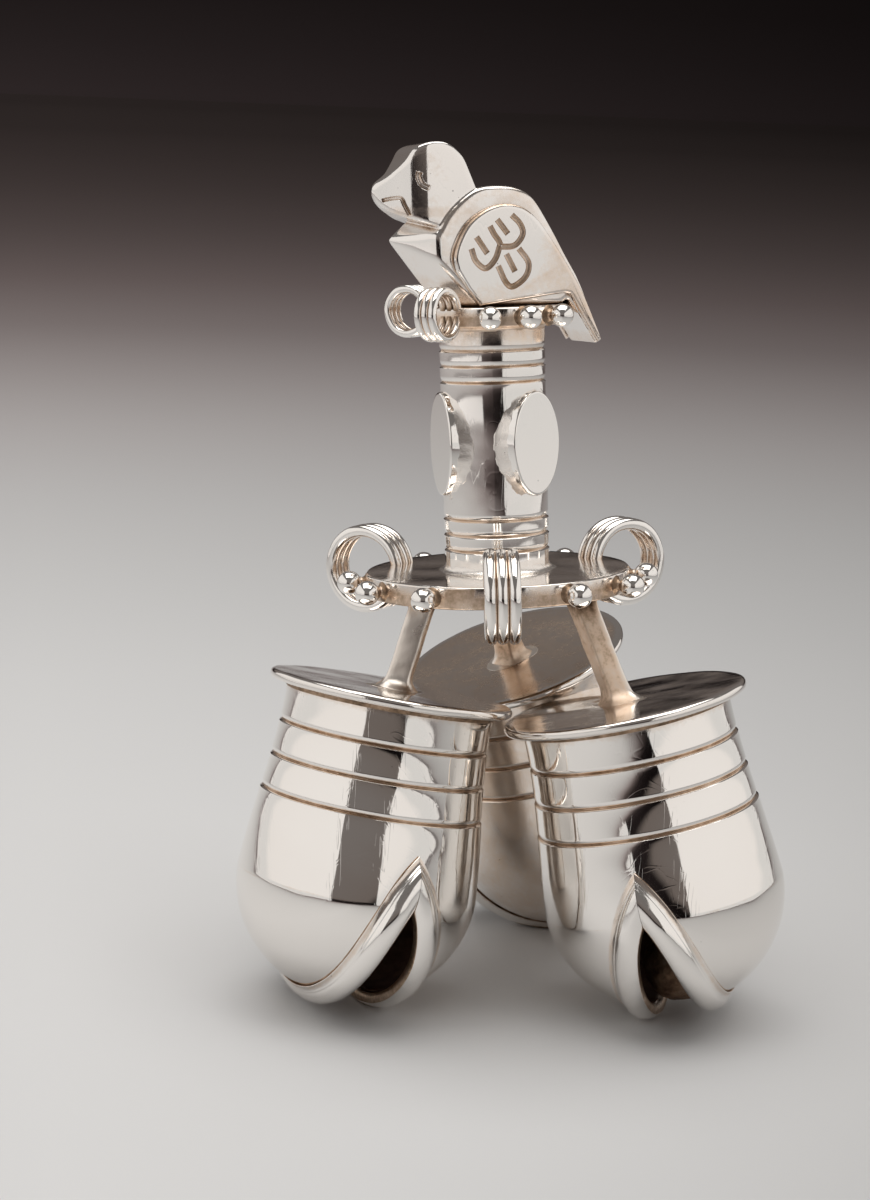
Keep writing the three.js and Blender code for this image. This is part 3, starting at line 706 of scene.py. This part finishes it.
def pellet_piece(name, seed):
    ball = bmesh.new()
    bmesh.ops.create_icosphere(ball, subdivisions=5, radius=PELLET_RADIUS * 0.985)
    verts = np.array([v.co[:] for v in ball.verts])
    faces = [tuple(v.index for v in face.verts) for face in ball.faces]
    ball.free()
    unit = verts / np.linalg.norm(verts, axis=1)[:, None]
    bumps = dent(verts, 3.2, 0.35, seed) + dent(verts, 1.1, 0.16, seed + 1) + dent(verts, 0.4, 0.07, seed + 2)
    verts = verts + unit * (bumps - 0.15)[:, None]
    node = "pellet_" + name
    place = Matrix.Translation(node_middle(node)) @ Matrix.Scale(MM, 4)
    piece("pellet_metal_" + name, verts, faces, place, COPPER, [node], body=name + "_pellet", slot="copper")


def build_bell(name, index):
    matrix = BELLS[name]
    shell_piece(name, matrix, index + 1)
    lip_piece(name, "inner", -1, matrix, index + 11)
    lip_piece(name, "outer", 1, matrix, index + 21)
    lid_piece(name, matrix, index + 31)
    under = matrix @ Matrix.Translation((0, 0, -LID_THICKNESS))
    cove_piece("lid_solder_" + name, under, NECK_RADIUS, 0.75, 0.7, True, index + 41, 0.75)
    pellet_piece(name, index + 51)


# Legs
def leg_end(points, base, sign, reach):
    """The middle of a leg's highest (sign 1) or lowest (-1) points in a frame."""
    to_base = base.inverted()
    local = [to_base @ p for p in points]
    limit = max(p.z * sign for p in local) - reach
    ends = [p for p in local if p.z * sign > limit]
    return sum(ends, Vector()) / len(ends)


def leg_outline():
    """A square with soft corners, with a point at least every half millimetre or so."""
    inner = LEG_SIDE / 2 - LEG_CORNER
    outline = []
    for i, (x, y) in enumerate([(1, -1), (1, 1), (-1, 1), (-1, -1)]):
        outline += arc(x * inner, y * inner, LEG_CORNER, LEG_CORNER, 90 * i - 90, 90 * i, 5)
    return polyline(outline + outline[:1], 0.5)[:-1]


def leg_piece(name, seed):
    """A square bar that stands on an edge, with its foot melted round into a puddle of solder."""
    bell = BELLS[name]
    points = [Vector(p) for p in node_points("leg_" + name)]
    high = leg_end(points, HANDLE, 1, 0.2)
    low = leg_end(points, bell, -1, 0.05)
    top = HANDLE @ Vector((high.x, high.y, -LOWER_PLATE_THICKNESS))
    foot = bell @ Vector((low.x, low.y, 0))
    along = (top - foot).normalized()
    azimuth = atan2(high.y, high.x)
    y = along.cross(Vector((cos(azimuth), sin(azimuth), 0))).normalized()
    x = y.cross(along)
    foot_normal = (bell.to_3x3() @ UP).normalized()
    top_normal = (HANDLE.to_3x3() @ UP).normalized()
    outline = leg_outline()
    turn = Matrix.Rotation(radians(45), 2)
    length = (top - foot).length / MM
    rows = 40
    verts = []
    tarnish_and_painted_reflection = []
    for i in range(rows + 1):
        share = 0.5 - 0.5 * cos(i / rows * pi)
        from_foot = share * length
        from_top = (1 - share) * length
        spread = 1 + 0.6 * exp(-(from_foot / 0.8) ** 1.2) + 0.3 * exp(-(from_top / 0.6) ** 1.3)
        for p in outline:
            q = turn @ Vector(p) * spread
            q = q.lerp(q.normalized() * LEG_SIDE * FOOT_ROUND_SHARE * spread, 0.85 * near(from_foot, 1.1))
            start = foot + (x * q.x + y * q.y) * MM
            base = start + along * ((foot - start).dot(foot_normal) / along.dot(foot_normal))
            tip = start + along * ((top - start).dot(top_normal) / along.dot(top_normal))
            verts.append(base.lerp(tip, share))
            # Painted reflection: one face of the bar is left bright, where it mirrors the lamps, and the other
            # faces are painted brown, where they mirror the lid. The bar is also browner close to its top.
            painted_bright_face = smoothstep(0.6, 0.95, (q.x + q.y) / sqrt(2) / (LEG_SIDE / 2))
            tarnish_and_painted_reflection.append(0.5 - 0.38 * painted_bright_face + 0.4 * near(from_top, 2.0))
    verts = np.array(verts)
    axis = np.array(foot) + np.outer((verts - np.array(foot)) @ np.array(along), np.array(along))
    outward = verts - axis
    outward /= np.linalg.norm(outward, axis=1)[:, None]
    bumps = dent(verts / MM, 3, 0.12, seed) + dent(verts / MM, 0.9, 0.05, seed + 1)
    verts = verts + outward * bumps[:, None] * MM
    faces = ring_faces(rows + 1, len(outline))
    piece("leg_bar_" + name, verts, faces, WORLD, LEG_SILVER, ["leg_" + name], tarnish_and_painted_reflection, 50)
    foot_place = bell.copy()
    foot_place.translation = foot
    puddle("leg_solder_" + name, foot_place, seed + 3)


def puddle(name, matrix, seed):
    """A low mound of solder that has run out round a foot."""
    shares = [k / 9 for k in range(10)]
    mound = [(PUDDLE_OUTER - (PUDDLE_OUTER - PUDDLE_INNER) * t, PUDDLE_HEIGHT * t ** 2.2) for t in shares]
    profile = [(0, -0.05), (PUDDLE_OUTER + 0.05, -0.05), *mound, (0, PUDDLE_HEIGHT)]
    verts, faces = lathe(polyline(profile, 0.35), 90)
    radial, _ = from_axis(verts)
    angle = np.arctan2(verts[:, 1], verts[:, 0])
    lobes = 1 + 0.13 * np.sin(2 * angle + seed) + 0.08 * np.sin(3 * angle + 2 * seed)
    verts[:, :2] *= lobes[:, None]
    verts[:, 2] += dent(verts, 1.3, 0.12, seed) * np.clip(1 - radial / PUDDLE_OUTER, 0, 1)
    piece(name, verts, faces, matrix, LEG_SILVER, [], np.full(len(verts), 0.22))


# Plates with their loops and beads
def plate_piece(name, matrix, radius, thickness, seed):
    verts, faces = lathe(disc_profile(radius, thickness, PLATE_EDGE), 192)
    verts[:, 2] += dent(verts, 8, 0.06, seed)
    radial, outward = from_axis(verts)
    rim = radial > radius - 0.2
    verts = verts + outward * np.where(rim, dent(verts, 4, 0.12, seed + 1), 0)[:, None]
    top = verts[:, 2] > -0.3
    near_grip = np.maximum(0.25, 0.5 * near(radial - GRIP_RADIUS, 1.3))
    tarnish_and_painted_reflection = np.where(top, near_grip, np.where(rim, 0.62, 0.8))
    piece(name + "_metal", verts, faces, matrix, PLATE_SILVER, [name], tarnish_and_painted_reflection)


def loop_piece(node, matrix, loop, plate_radius, plate_thickness, seed):
    """Three rings of round wire side by side, standing across the rim."""
    wire = loop["wire"]
    centre = plate_radius + loop["stand"]
    height = LOOP_RISE - plate_thickness / 2
    steps = 96
    sides = 20
    verts = []
    faces = []
    tarnish_and_painted_reflection = []
    for lane in (-1, 0, 1):
        base = len(verts)
        faces += [tuple(base + v for v in face) for face in tube_faces(steps + 1, sides, flip=True)]
        for i in range(steps + 1):
            a = LOOP_SWEEP * (1 - 2 * i / steps)
            squeeze = 1 - 0.06 * abs(a) / pi
            ring = loop["radius"] - 0.1 + noise.noise(Vector((a * 1.2, lane * 3.1, seed * 5.3))) * 0.1
            ends = 0.4 * near(pi - abs(a), 0.45)
            for k in range(sides):
                b = 2 * pi * k / sides
                r = ring + wire * cos(b)
                y = lane * 2 * wire * WIRE_SPACING_SHARE * squeeze + wire * sin(b)
                verts.append((centre + r * cos(a), y, height + r * sin(a)))
                between = abs(sin(b)) if lane == 0 or lane * sin(b) < 0 else 0
                inner = 0.35 * max(0.0, -cos(b))
                tarnish_and_painted_reflection.append(min(1, 0.75 * between ** 3 + ends + inner))
    piece(node + "_wire", verts, faces, matrix, WIRE_SILVER, [node], tarnish_and_painted_reflection, 60)


def bead_piece(node, matrix, radius, seed):
    """A ball on a neck of solder that flares onto the rim."""
    profile = [(0, -0.1), (1.35, -0.1), (1.28, 0.02), (1.02, 0.16), (0.82, 0.34), (BEAD_NECK_RADIUS, 0.55)]
    start = degrees(asin(BEAD_NECK_RADIUS / radius))
    centre = BEAD_NECK + SEAT_GAP + radius * cos(radians(start))
    profile += arc(0, centre, radius, radius, start - 90, 90, 32)[1:]
    verts, faces = lathe(profile, 40)
    tarnish_and_painted_reflection = 0.8 * near(np.maximum(verts[:, 2] - 0.2, 0), 0.75)
    verts = np.roll(verts, 1, axis=1)
    verts[:, 1:] *= 1 + dent(verts, 1.4, 0.09, seed)[:, None] * 0.35
    piece(node + "_ball", verts, faces, matrix, WIRE_SILVER, [node], tarnish_and_painted_reflection, 60)


def build_plate(level, top, radius, thickness, loop, loop_turns, bead_radius, bead_turns, seed):
    base = HANDLE @ Matrix.Translation((0, 0, top))
    plate_piece(level + "_plate", base, radius, thickness, seed)
    for i, turn in enumerate(loop_turns):
        loop_piece(f"{level}_loop_{i + 1}", turned(base, turn), loop, radius, thickness, seed + i)
    for i, turn in enumerate(bead_turns):
        place = turned(base, turn, (radius - 0.02, 0, -thickness / 2))
        bead_piece(f"{level}_bead_{i + 1}", place, bead_radius, seed + 7 + i)


# Grip
def grip_piece():
    inner = GRIP_RADIUS - GRIP_WALL
    points = [(inner, -0.02), (GRIP_RADIUS, -0.02)]
    z = 0.0
    while z < GRIP_HEIGHT:
        z += wall_step(z, GRIP_GROOVES, GRIP_FINE_ZONE)
        radius = GRIP_RADIUS + GRIP_GROOVE_SHARE * sum(groove_shape(g - z) for g in GRIP_GROOVES)
        points.append((radius, min(z, GRIP_HEIGHT)))
    verts, faces = lathe(points + [(inner, GRIP_HEIGHT)], 160, closed=True)
    verts = verts + from_axis(verts)[1] * (dent(verts, 6, 0.06, 3) + dent(verts, 2, 0.012, 5))[:, None]
    heights = verts[:, 2]
    tarnish_and_painted_reflection = np.maximum.reduce([
        0.52 * near(heights - GRIP_HEIGHT, 3.2),
        0.3 * near(heights, 0.9),
        *(0.62 * near(heights - groove - 0.05, 0.25) for groove in GRIP_GROOVES),
    ])
    piece("grip_tube", verts, faces, HANDLE, GRIP_SILVER, ["grip"], tarnish_and_painted_reflection)
    cove_piece("grip_foot_solder", HANDLE, GRIP_RADIUS, 0.9, 1.0, False, 61, 0.12)
    top = HANDLE @ Matrix.Translation((0, 0, GRIP_HEIGHT))
    cove_piece("grip_top_solder", top, GRIP_RADIUS, 0.7, 0.6, True, 62, 0.55)


def boss_oval(grow, stretch):
    return arc(0, 0, BOSS_WIDTH / 2 + grow, BOSS_HEIGHT / 2 + stretch, 0, 360, 96)[:-1]


def boss_piece(index):
    """An oval plate with a flat face, and a wide bed of solder that ties it to the tube."""
    matrix = turned(HANDLE, BIRD_TURN + 120 * index, (0, 0, BOSS_RISE))
    outline = boss_oval(0, 0)
    verts, faces = plate(outline, 4.6, BOSS_FACE, 0.3)
    tarnish_and_painted_reflection = np.where(verts[:, 2] > BOSS_FACE - 0.4, 0.0, 0.15)
    verts = np.roll(verts, 1, axis=1)
    piece(f"boss_plate_{index + 1}", verts, faces, matrix, GRIP_SILVER, [f"grip_boss_{index + 1}"], tarnish_and_painted_reflection)
    rows = 9
    verts = []
    for t in np.linspace(0, 1, rows):
        for across, along in boss_oval(BOSS_BED * t - 0.1, BOSS_BED * t * 0.9 - 0.1):
            wobble = 1 + 0.03 * noise.noise(Vector((across, along, index * 3.0)))
            y = min(max(across * wobble, -GRIP_RADIUS + 0.2), GRIP_RADIUS - 0.2)
            tube = sqrt(GRIP_RADIUS ** 2 - y * y) - 0.03
            x = tube + max(BOSS_FACE - 0.75 - tube, 0.0) * (1 - t) ** 2
            verts.append((x, y, along * wobble))
    verts = np.array(verts)
    verts[:, 0] += dent(verts, 1.1, 0.12, index + 70)
    tarnish_and_painted_reflection = 0.06 + 0.4 * smoothstep(-2, -7, verts[:, 2]) * smoothstep(1, -3, verts[:, 1])
    faces = [face[::-1] for face in ring_faces(rows, len(outline))]
    thicken(piece(f"boss_solder_{index + 1}", verts, faces, matrix, SOLDER, [], tarnish_and_painted_reflection), 0.25)


# Bird: side outlines, each straight, then curved, then straight, in shares of its height, forward and up
BODY_SIDE = [
    [(0.142, 0), (0.275, 0.157), (0.402, 0.296)],
    [(0.415, 0.396), (0.375, 0.509), (0.288, 0.616), (0.154, 0.711), (0.02, 0.73), (-0.114, 0.711),
     (-0.214, 0.648), (-0.314, 0.491), (-0.415, 0.302), (-0.515, 0.113), (-0.628, -0.2)],
    [(-0.636, -0.235), (-0.608, -0.262), (-0.493, -0.062), (-0.42, 0.035), (-0.389, 0)],
]
HEAD_SIDE = [
    [(0.14, 0.6), (0.142, 0.71)],
    [(0.18, 0.806), (0.228, 0.91), (0.313, 0.986), (0.415, 1), (0.517, 0.967), (0.572, 0.892),
     (0.64, 0.82), (0.725, 0.763), (0.749, 0.711), (0.725, 0.649), (0.668, 0.597), (0.578, 0.55)],
    [(0.483, 0.517), (0.355, 0.474)],
]
WING_SIDE = [
    [(0.161, 0.006), (0.241, 0.113), (0.308, 0.226)],
    [(0.321, 0.302), (0.294, 0.396), (0.228, 0.503), (0.127, 0.579), (0.02, 0.616), (-0.08, 0.61),
     (-0.161, 0.572), (-0.241, 0.491), (-0.328, 0.365), (-0.393, 0.262), (-0.498, 0.075), (-0.608, -0.19)],
    [(-0.617, -0.225), (-0.592, -0.24), (-0.483, -0.05), (-0.417, 0.063), (-0.381, 0.069)],
]
# The head from above: forward, and the width as a share of the head's
HEAD_PLAN = [(0.1, 1), (0.3, 1), (0.45, 1), (0.565, 0.82), (0.65, 0.42), (0.735, 0.16), (0.76, 0.06)]
# Corners of the chest: forward, the width as a share of the body's, and up
CHEST = [
    (0.664, 0, 0.42), (0.408, 1, 0.28), (0.142, 1, 0), (0.351, 0, 0),
    (0.412, 1, 0.45), (0.54, 0, 0.531), (0.095, 1, 0.569),
]
WING_PLUMP = 0.15  # how much thicker the wing is than in the solids

# Lines of the near side, as places in the photograph on the plane of the wing
FLANK_MIDDLE = (506, 303)
FLANK_SCALE = (0.1412, 0.1327)
EYE_CRESCENT = [(431.5, 173), (430.5, 178), (433.5, 185), (440, 189)]
BEAK_LINE = [(402, 199), (409, 197.5), (416, 197.5), (419, 205), (422.5, 214)]
FEATHER_MARKS = [
    [(474, 247), (478, 259), (487, 266), (496, 258), (501, 245)],
    [(479, 236), (489, 252)],
    [(492, 226), (496, 234), (500, 240), (502, 245)],
    [(513, 216), (521, 225), (523, 235), (515, 245), (503, 246)],
    [(499, 220), (509, 234)],
    [(499, 264), (506, 280), (513, 284), (525, 275), (528, 262), (519, 248)],
    [(507, 253), (515, 270)],
]
MARK_WIDTH = 0.9
MARK_DEPTH = 0.32
# The part of the wing that holds the marks, in millimetres
MARKS_MIDDLE = (0.8, 7.5)
MARKS_REACH = 6

# Rounding of the bird: size of the fine blocks, and how often each part is smoothed
BIRD_GRAIN = 0.13
BODY_WEAR = 90
HEAD_WEAR = 26
SEAM_WEAR = 7


def bird_outline(parts):
    """A closed side outline in millimetres."""
    start, middle, end = ([Vector(p) * BIRD_HEIGHT for p in part] for part in parts)
    loop = start[:-1] + smooth_curve([start[-1], *middle]) + end
    return [Vector(p) for p in polyline([(p.x, p.y) for p in loop + loop[:1]], 0.35)[:-1]]


def bare_object(name, verts, faces):
    mesh = new_mesh(name, verts, faces)
    mesh.validate()
    made = add_object(name, mesh)
    level = bmesh.new()
    level.from_mesh(mesh)
    bmesh.ops.recalc_face_normals(level, faces=level.faces)
    level.to_mesh(mesh)
    level.free()
    return made


def side_solid(name, parts, width):
    """A bare prism over a side outline, across the bird's width."""
    outline = bird_outline(parts)
    verts = [(p.x, side * width / 2, p.y) for side in (1, -1) for p in outline]
    return bare_object(name, verts, tube_faces(2, len(outline)))


def bake(made):
    """Turns an object's modifiers into its mesh."""
    bpy.context.view_layer.update()
    graph = bpy.context.evaluated_depsgraph_get()
    mesh = bpy.data.meshes.new_from_object(made.evaluated_get(graph))
    made.modifiers.clear()
    made.data = mesh


def combine(base, other, operation):
    """Adds, cuts or intersects another object into base, and removes the other."""
    cut = base.modifiers.new("cut", "BOOLEAN")
    cut.operation = operation
    cut.solver = "EXACT"
    cut.object = other
    bake(base)
    bpy.data.objects.remove(other)


def worn_solid(made, iterations):
    """Turns a hard-edged solid into fine blocks and smooths them, which rounds its edges as wear does."""
    blocks = made.modifiers.new("blocks", "REMESH")
    blocks.mode = "VOXEL"
    blocks.voxel_size = BIRD_GRAIN
    bake(made)
    worn = made.modifiers.new("worn", "SMOOTH")
    worn.factor = 0.6
    worn.iterations = iterations
    bake(made)


def join(base, other):
    """Puts another object's mesh into base, and removes the other."""
    level = bmesh.new()
    level.from_mesh(base.data)
    level.from_mesh(other.data)
    level.to_mesh(base.data)
    level.free()
    bpy.data.objects.remove(other)


def head_object():
    """The head: its side outline, narrowed to its plan seen from above."""
    head = side_solid("head", HEAD_SIDE, HEAD_WIDTH)
    near_side = smooth_curve([(f * BIRD_HEIGHT, s * HEAD_WIDTH / 2) for f, s in HEAD_PLAN])
    plan = [(p.x, p.y) for p in near_side] + [(p.x, -p.y) for p in reversed(near_side)]
    verts = [(x, y, z) for z in (0.0, BIRD_HEIGHT + 3) for x, y in plan]
    combine(head, bare_object("head_plan", verts, tube_faces(2, len(plan))), "INTERSECT")
    return head


def chest_object():
    level = bmesh.new()
    for forward, across, up in CHEST:
        for side in ((-1, 1) if across else (0,)):
            level.verts.new((forward * BIRD_HEIGHT, side * across * BODY_WIDTH / 2, up * BIRD_HEIGHT))
    bmesh.ops.convex_hull(level, input=level.verts)
    mesh = bpy.data.meshes.new("chest")
    level.to_mesh(mesh)
    level.free()
    return add_object("chest", mesh)


def engrave(made, mark, width, depth, surface, side):
    """Cuts a round-bottomed groove along a line of the near side, or of the far side. surface gives the
    distance from the bird's middle plane to the surface at a place forward."""
    path = [Vector(((FLANK_MIDDLE[0] - x) * FLANK_SCALE[0], (FLANK_MIDDLE[1] - y) * FLANK_SCALE[1]))
            for x, y in mark]
    curve = smooth_curve(path, 6)
    ring = 12
    verts = []
    for i, p in enumerate(curve):
        ahead = curve[min(i + 1, len(curve) - 1)] - curve[max(i - 1, 0)]
        ahead.normalize()
        across = Vector((-ahead.y, ahead.x))
        for k in range(ring):
            a = 2 * pi * k / ring
            q = p + across * (width / 2 * cos(a))
            verts.append((q.x, side * (surface(p.x) + 0.3 + (depth + 0.3) * sin(a)), q.y))
    cutter = bare_object("groove", verts, tube_faces(len(curve), ring, flip=True))
    combine(made, cutter, "DIFFERENCE")


def head_side(forward):
    """Half the width of the head at a distance forward."""
    shares, widths = zip(*HEAD_PLAN)
    return float(np.interp(forward / BIRD_HEIGHT, shares, widths)) * HEAD_WIDTH / 2 - 0.12


def finish_figure(made, name, node, tarnish_and_reflection):
    """Puts a part of the bird in its place. tarnish_and_reflection gives its level for a point in the bird's frame.
    """
    mesh = made.data
    made.name = name
    mesh.transform(BIRD_PLACE)
    back = BIRD_PLACE.inverted()
    paint_tarnish_and_reflection(mesh, [tarnish_and_reflection(back @ v.co) for v in mesh.vertices])
    mesh.materials.clear()
    mesh.materials.append(BIRD_SILVER)
    shade_smooth(mesh)
    finish_piece(made, [node])


def wing_piece(label, side):
    thickness = WING_THICKNESS + WING_PLUMP
    verts, faces = plate(bird_outline(WING_SIDE), 0, thickness, 0.45)
    inner = BODY_WIDTH / 2 + SEAT_GAP - 0.1
    face = inner + thickness
    made = bare_object(label, [(v[0], side * (inner + v[2]), v[1]) for v in verts], faces)
    for mark in FEATHER_MARKS:
        engrave(made, mark, MARK_WIDTH, MARK_DEPTH, lambda forward: face, side)

    def tarnish_and_reflection(p):
        """In the marks, which lie below the wing's face, and along its lower edge."""
        in_marks = hypot(p.x - MARKS_MIDDLE[0], p.z - MARKS_MIDDLE[1]) < MARKS_REACH
        marked = 0.6 if 0.06 < (side * face - p.y) * side < 0.7 and in_marks else 0.0
        return max(marked, 0.42 * (1 - smoothstep(-1.5, 6.5, p.z)), 0.42 * smoothstep(-2, -8, p.x))

    finish_figure(made, label + "_sheet", label, tarnish_and_reflection)
    made.data.set_sharp_from_angle(angle=radians(30))


def bird_tarnish(p):
    neck = 0.32 * near(p.z - 12.2, 1.1) * smoothstep(2, 4, p.x)
    flank = 0.26 if abs(abs(p.y) - BODY_WIDTH / 2) < 0.35 and p.x < 8 and p.z < 16 else 0.0
    under = 0.36 * smoothstep(6, 3, p.z) * smoothstep(1, 4, p.x)
    tail = 0.4 * smoothstep(-2, -5, p.z)
    return max(neck, flank, under, tail, 0.16)


def bird_piece():
    body = side_solid("bird_body", BODY_SIDE, BODY_WIDTH)
    combine(body, chest_object(), "UNION")
    worn_solid(body, BODY_WEAR)
    head = head_object()
    worn_solid(head, HEAD_WEAR)
    join(body, head)
    worn_solid(body, SEAM_WEAR)
    seat = UPPER_PLATE_RADIUS + 0.1
    seat_profile = [(0, -BIRD_HEIGHT), (seat, -BIRD_HEIGHT), (seat, 0.02), (0, 0.02)]
    combine(body, bare_object("seat", *lathe(seat_profile, 96)), "DIFFERENCE")
    for side in (1, -1):
        engrave(body, EYE_CRESCENT, 0.85, 0.4, head_side, side)
        engrave(body, BEAK_LINE, 0.55, 0.45, head_side, side)
    finish_figure(body, "bird_figure", "bird", bird_tarnish)


# Stage, light and camera, in metres
FLOOR_REACH = 40
FLOOR_RINGS = [0, 0.2, 0.5, 1, 2, 4, 9, 20, FLOOR_REACH]
# Lightness of the floor's paper at a distance: a painted falloff of light, bright where the rattle stands and
# darker far off. With the tints below, it is also warmer far off.
FLOOR_PAINTED_FALLOFF = [
    (0, 0.69), (0.06, 0.65), (0.12, 0.60), (0.18, 0.565), (0.25, 0.52), (0.39, 0.455), (0.55, 0.39), (0.7, 0.325),
    (0.91, 0.25), (1.24, 0.225), (2.2, 0.21), (3, 0.182), (4.2, 0.153), (7, 0.115), (19, 0.09),
]
NEAR_TINT = (0.985, 0.985, 0.99)
FAR_TINT = (1.06, 0.87, 0.86)
TINT_START = 0.35
TINT_LENGTH = 0.8
# The backdrop is lighter on the left, and more so far away: share per unit of sideways direction. On the floor this
# side fade is painted light.
SIDE_FADE_NEAR = 0.5
SIDE_FADE_FAR = 2.3
SIDE_FADE_SKY = 2.5
SIDE_FADE_LIMIT = 0.2
CAMERA_BACK = 0.32
# Above the horizon, by height: what the camera sees just over it, and the dim studio higher up
BLACK = (0.0, 0.0, 0.0)
LOW_SKY = [
    (0.0, (0.0166, 0.0123, 0.0123)), (0.02, (0.0121, 0.009, 0.009)), (0.04, (0.0087, 0.0065, 0.0064)),
    (0.065, (0.008, 0.006, 0.006)), (0.10, BLACK),
]
HIGH_SKY = [
    (0.065, BLACK), (0.10, (0.145, 0.122, 0.11)), (0.3, (0.172, 0.155, 0.147)), (1.0, (0.15, 0.144, 0.138)),
]
LIGHT_COLOUR = (1, 0.985, 0.96)
SIDE_BOX_TURN = 82
SIDE_BOX_DISTANCE = 0.55
SIDE_BOX_HEIGHT = 0.31
# The photograph's view: its height and focal length in pixels, and where the handle's foot lies from its middle
PHOTO_HEIGHT = 1200
FOCAL_PIXELS = 2400
HANDLE_OFFSET = (62.25, -34.63)
CAMERA_DISTANCE = 0.3185
CAMERA_ELEVATION = radians(10.87)
CAMERA_ROLL = radians(2.22)
SENSOR_HEIGHT = 24


def side_faded(nodes, colour, side, strength):
    """A colour as it is in the middle, lighter on the left and darker on the right, within the picture's width."""
    limits = {"Value": side, "Min": -SIDE_FADE_LIMIT, "Max": SIDE_FADE_LIMIT}
    shift = nodes.times(nodes.add("Clamp", limits).outputs[0], strength)
    factor = nodes.math("SUBTRACT", 1.0, shift)
    return nodes.vector_math("SCALE", {0: colour, "Scale": factor})["Vector"]


def stage_floor():
    """A wide, pale sweep with painted light: its colour is light where the rattle stands, darker with distance, and
    lighter on the left.
    """
    made = add_object("floor", new_mesh("floor", *lathe([(radius, 0) for radius in FLOOR_RINGS], 96)))
    shade_smooth(made.data)
    stops = []
    for distance, level in FLOOR_PAINTED_FALLOFF:
        far = min(max(distance - TINT_START, 0.0) / TINT_LENGTH, 1.0)
        tint = tuple(level * (close + (away - close) * far) for close, away in zip(NEAR_TINT, FAR_TINT))
        stops.append((sqrt(distance / FLOOR_REACH), tint))
    material, nodes, where = new_material("floor_paper")
    distance = nodes.vector_math("LENGTH", {0: where})["Value"]
    share = nodes.math("POWER", nodes.math("DIVIDE", distance, FLOOR_REACH), 0.5)
    split = nodes.add("SeparateXYZ", {0: where}).outputs
    ahead = nodes.math("MAXIMUM", nodes.plus(split["Y"], CAMERA_BACK), CAMERA_BACK / 2)
    side = nodes.math("DIVIDE", split["X"], ahead)
    strength = nodes.math("MINIMUM", nodes.plus(nodes.times(share, 3.0), SIDE_FADE_NEAR), SIDE_FADE_FAR)
    nodes.surface("BsdfDiffuse", {"Color": side_faded(nodes, nodes.ramp(share, stops), side, strength)})
    made.data.materials.append(material)


def stage_world():
    """Dark above the horizon, a little lighter close to it."""
    world = bpy.data.worlds.new("studio")
    bpy.context.scene.world = world
    nodes = Nodes(world)
    where = nodes.add("TexCoord").outputs["Generated"]
    split = nodes.add("SeparateXYZ", {0: where}).outputs
    low = side_faded(nodes, nodes.ramp(split["Z"], LOW_SKY), split["X"], SIDE_FADE_SKY)
    high = nodes.ramp(split["Z"], HIGH_SKY)
    both = nodes.vector_math("ADD", {0: low, 1: high})["Vector"]
    nodes.surface("Background", {"Color": both}, output="OutputWorld")


def soft_box(name, centre, target, width, height, radiance):
    light = bpy.data.lights.new(name, "AREA")
    light.shape = "RECTANGLE"
    light.size = width
    light.size_y = height
    light.energy = radiance * pi * width * height
    light.color = LIGHT_COLOUR
    made = add_object(name, light)
    made.location = centre
    made.rotation_euler = (Vector(target) - Vector(centre)).to_track_quat("-Z", "Y").to_euler()
    made.visible_camera = False


def stage_lights():
    for name, side in (("left_box", -1), ("right_box", 1)):
        azimuth = radians(-90 + side * SIDE_BOX_TURN)
        centre = (SIDE_BOX_DISTANCE * cos(azimuth), SIDE_BOX_DISTANCE * sin(azimuth), SIDE_BOX_HEIGHT)
        soft_box(name, centre, (0, 0, SIDE_BOX_HEIGHT), 1.9, 0.6, 0.7)
    soft_box("top_box", (0, 0.05, 1.1), (0, 0.05, 0), 1.2, 1.2, 2.3)


def stage_camera():
    """The photograph's view, slightly from above."""
    yaw = atan2(HANDLE_OFFSET[0], FOCAL_PIXELS)
    pitch = CAMERA_ELEVATION - atan2(HANDLE_OFFSET[1], FOCAL_PIXELS)
    ahead = Vector((-sin(yaw) * cos(pitch), cos(yaw) * cos(pitch), -sin(pitch)))
    camera = bpy.data.cameras.new("camera")
    camera.sensor_fit = "VERTICAL"
    camera.sensor_height = SENSOR_HEIGHT
    camera.lens = SENSOR_HEIGHT * FOCAL_PIXELS / PHOTO_HEIGHT
    camera.clip_start = 0.01
    camera.clip_end = 50
    made = add_object("camera", camera)
    made.location = HANDLE.translation + Vector((
        0, -CAMERA_DISTANCE * cos(CAMERA_ELEVATION), CAMERA_DISTANCE * sin(CAMERA_ELEVATION)))
    made.rotation_euler = (Quaternion(ahead, -CAMERA_ROLL) @ ahead.to_track_quat("-Z", "Y")).to_euler()
    bpy.context.scene.camera = made


def build():
    for index, name in enumerate(BELLS):
        build_bell(name, index)
        leg_piece(name, index + 80)
    lower_turns = [LOWER_LOOP_TURN - 120 * i for i in range(3)]
    lower_beads = [turn + offset for turn in lower_turns for offset in LOWER_BEAD_TURNS]
    build_plate("lower", 0, LOWER_PLATE_RADIUS, LOWER_PLATE_THICKNESS, LOWER_LOOP, lower_turns,
                LOWER_BEAD_RADIUS, lower_beads, 90)
    build_plate("upper", GRIP_HEIGHT + UPPER_PLATE_THICKNESS, UPPER_PLATE_RADIUS, UPPER_PLATE_THICKNESS,
                UPPER_LOOP, [BIRD_TURN + t for t in UPPER_LOOP_TURNS],
                UPPER_BEAD_RADIUS, [BIRD_TURN + t for t in UPPER_BEAD_TURNS], 120)
    grip_piece()
    for index in range(3):
        boss_piece(index)
    bird_piece()
    wing_piece("left_wing", 1)
    wing_piece("right_wing", -1)
    stage_floor()
    stage_world()
    stage_lights()
    stage_camera()


build()
bpy.context.scene.view_settings.view_transform = "Standard"
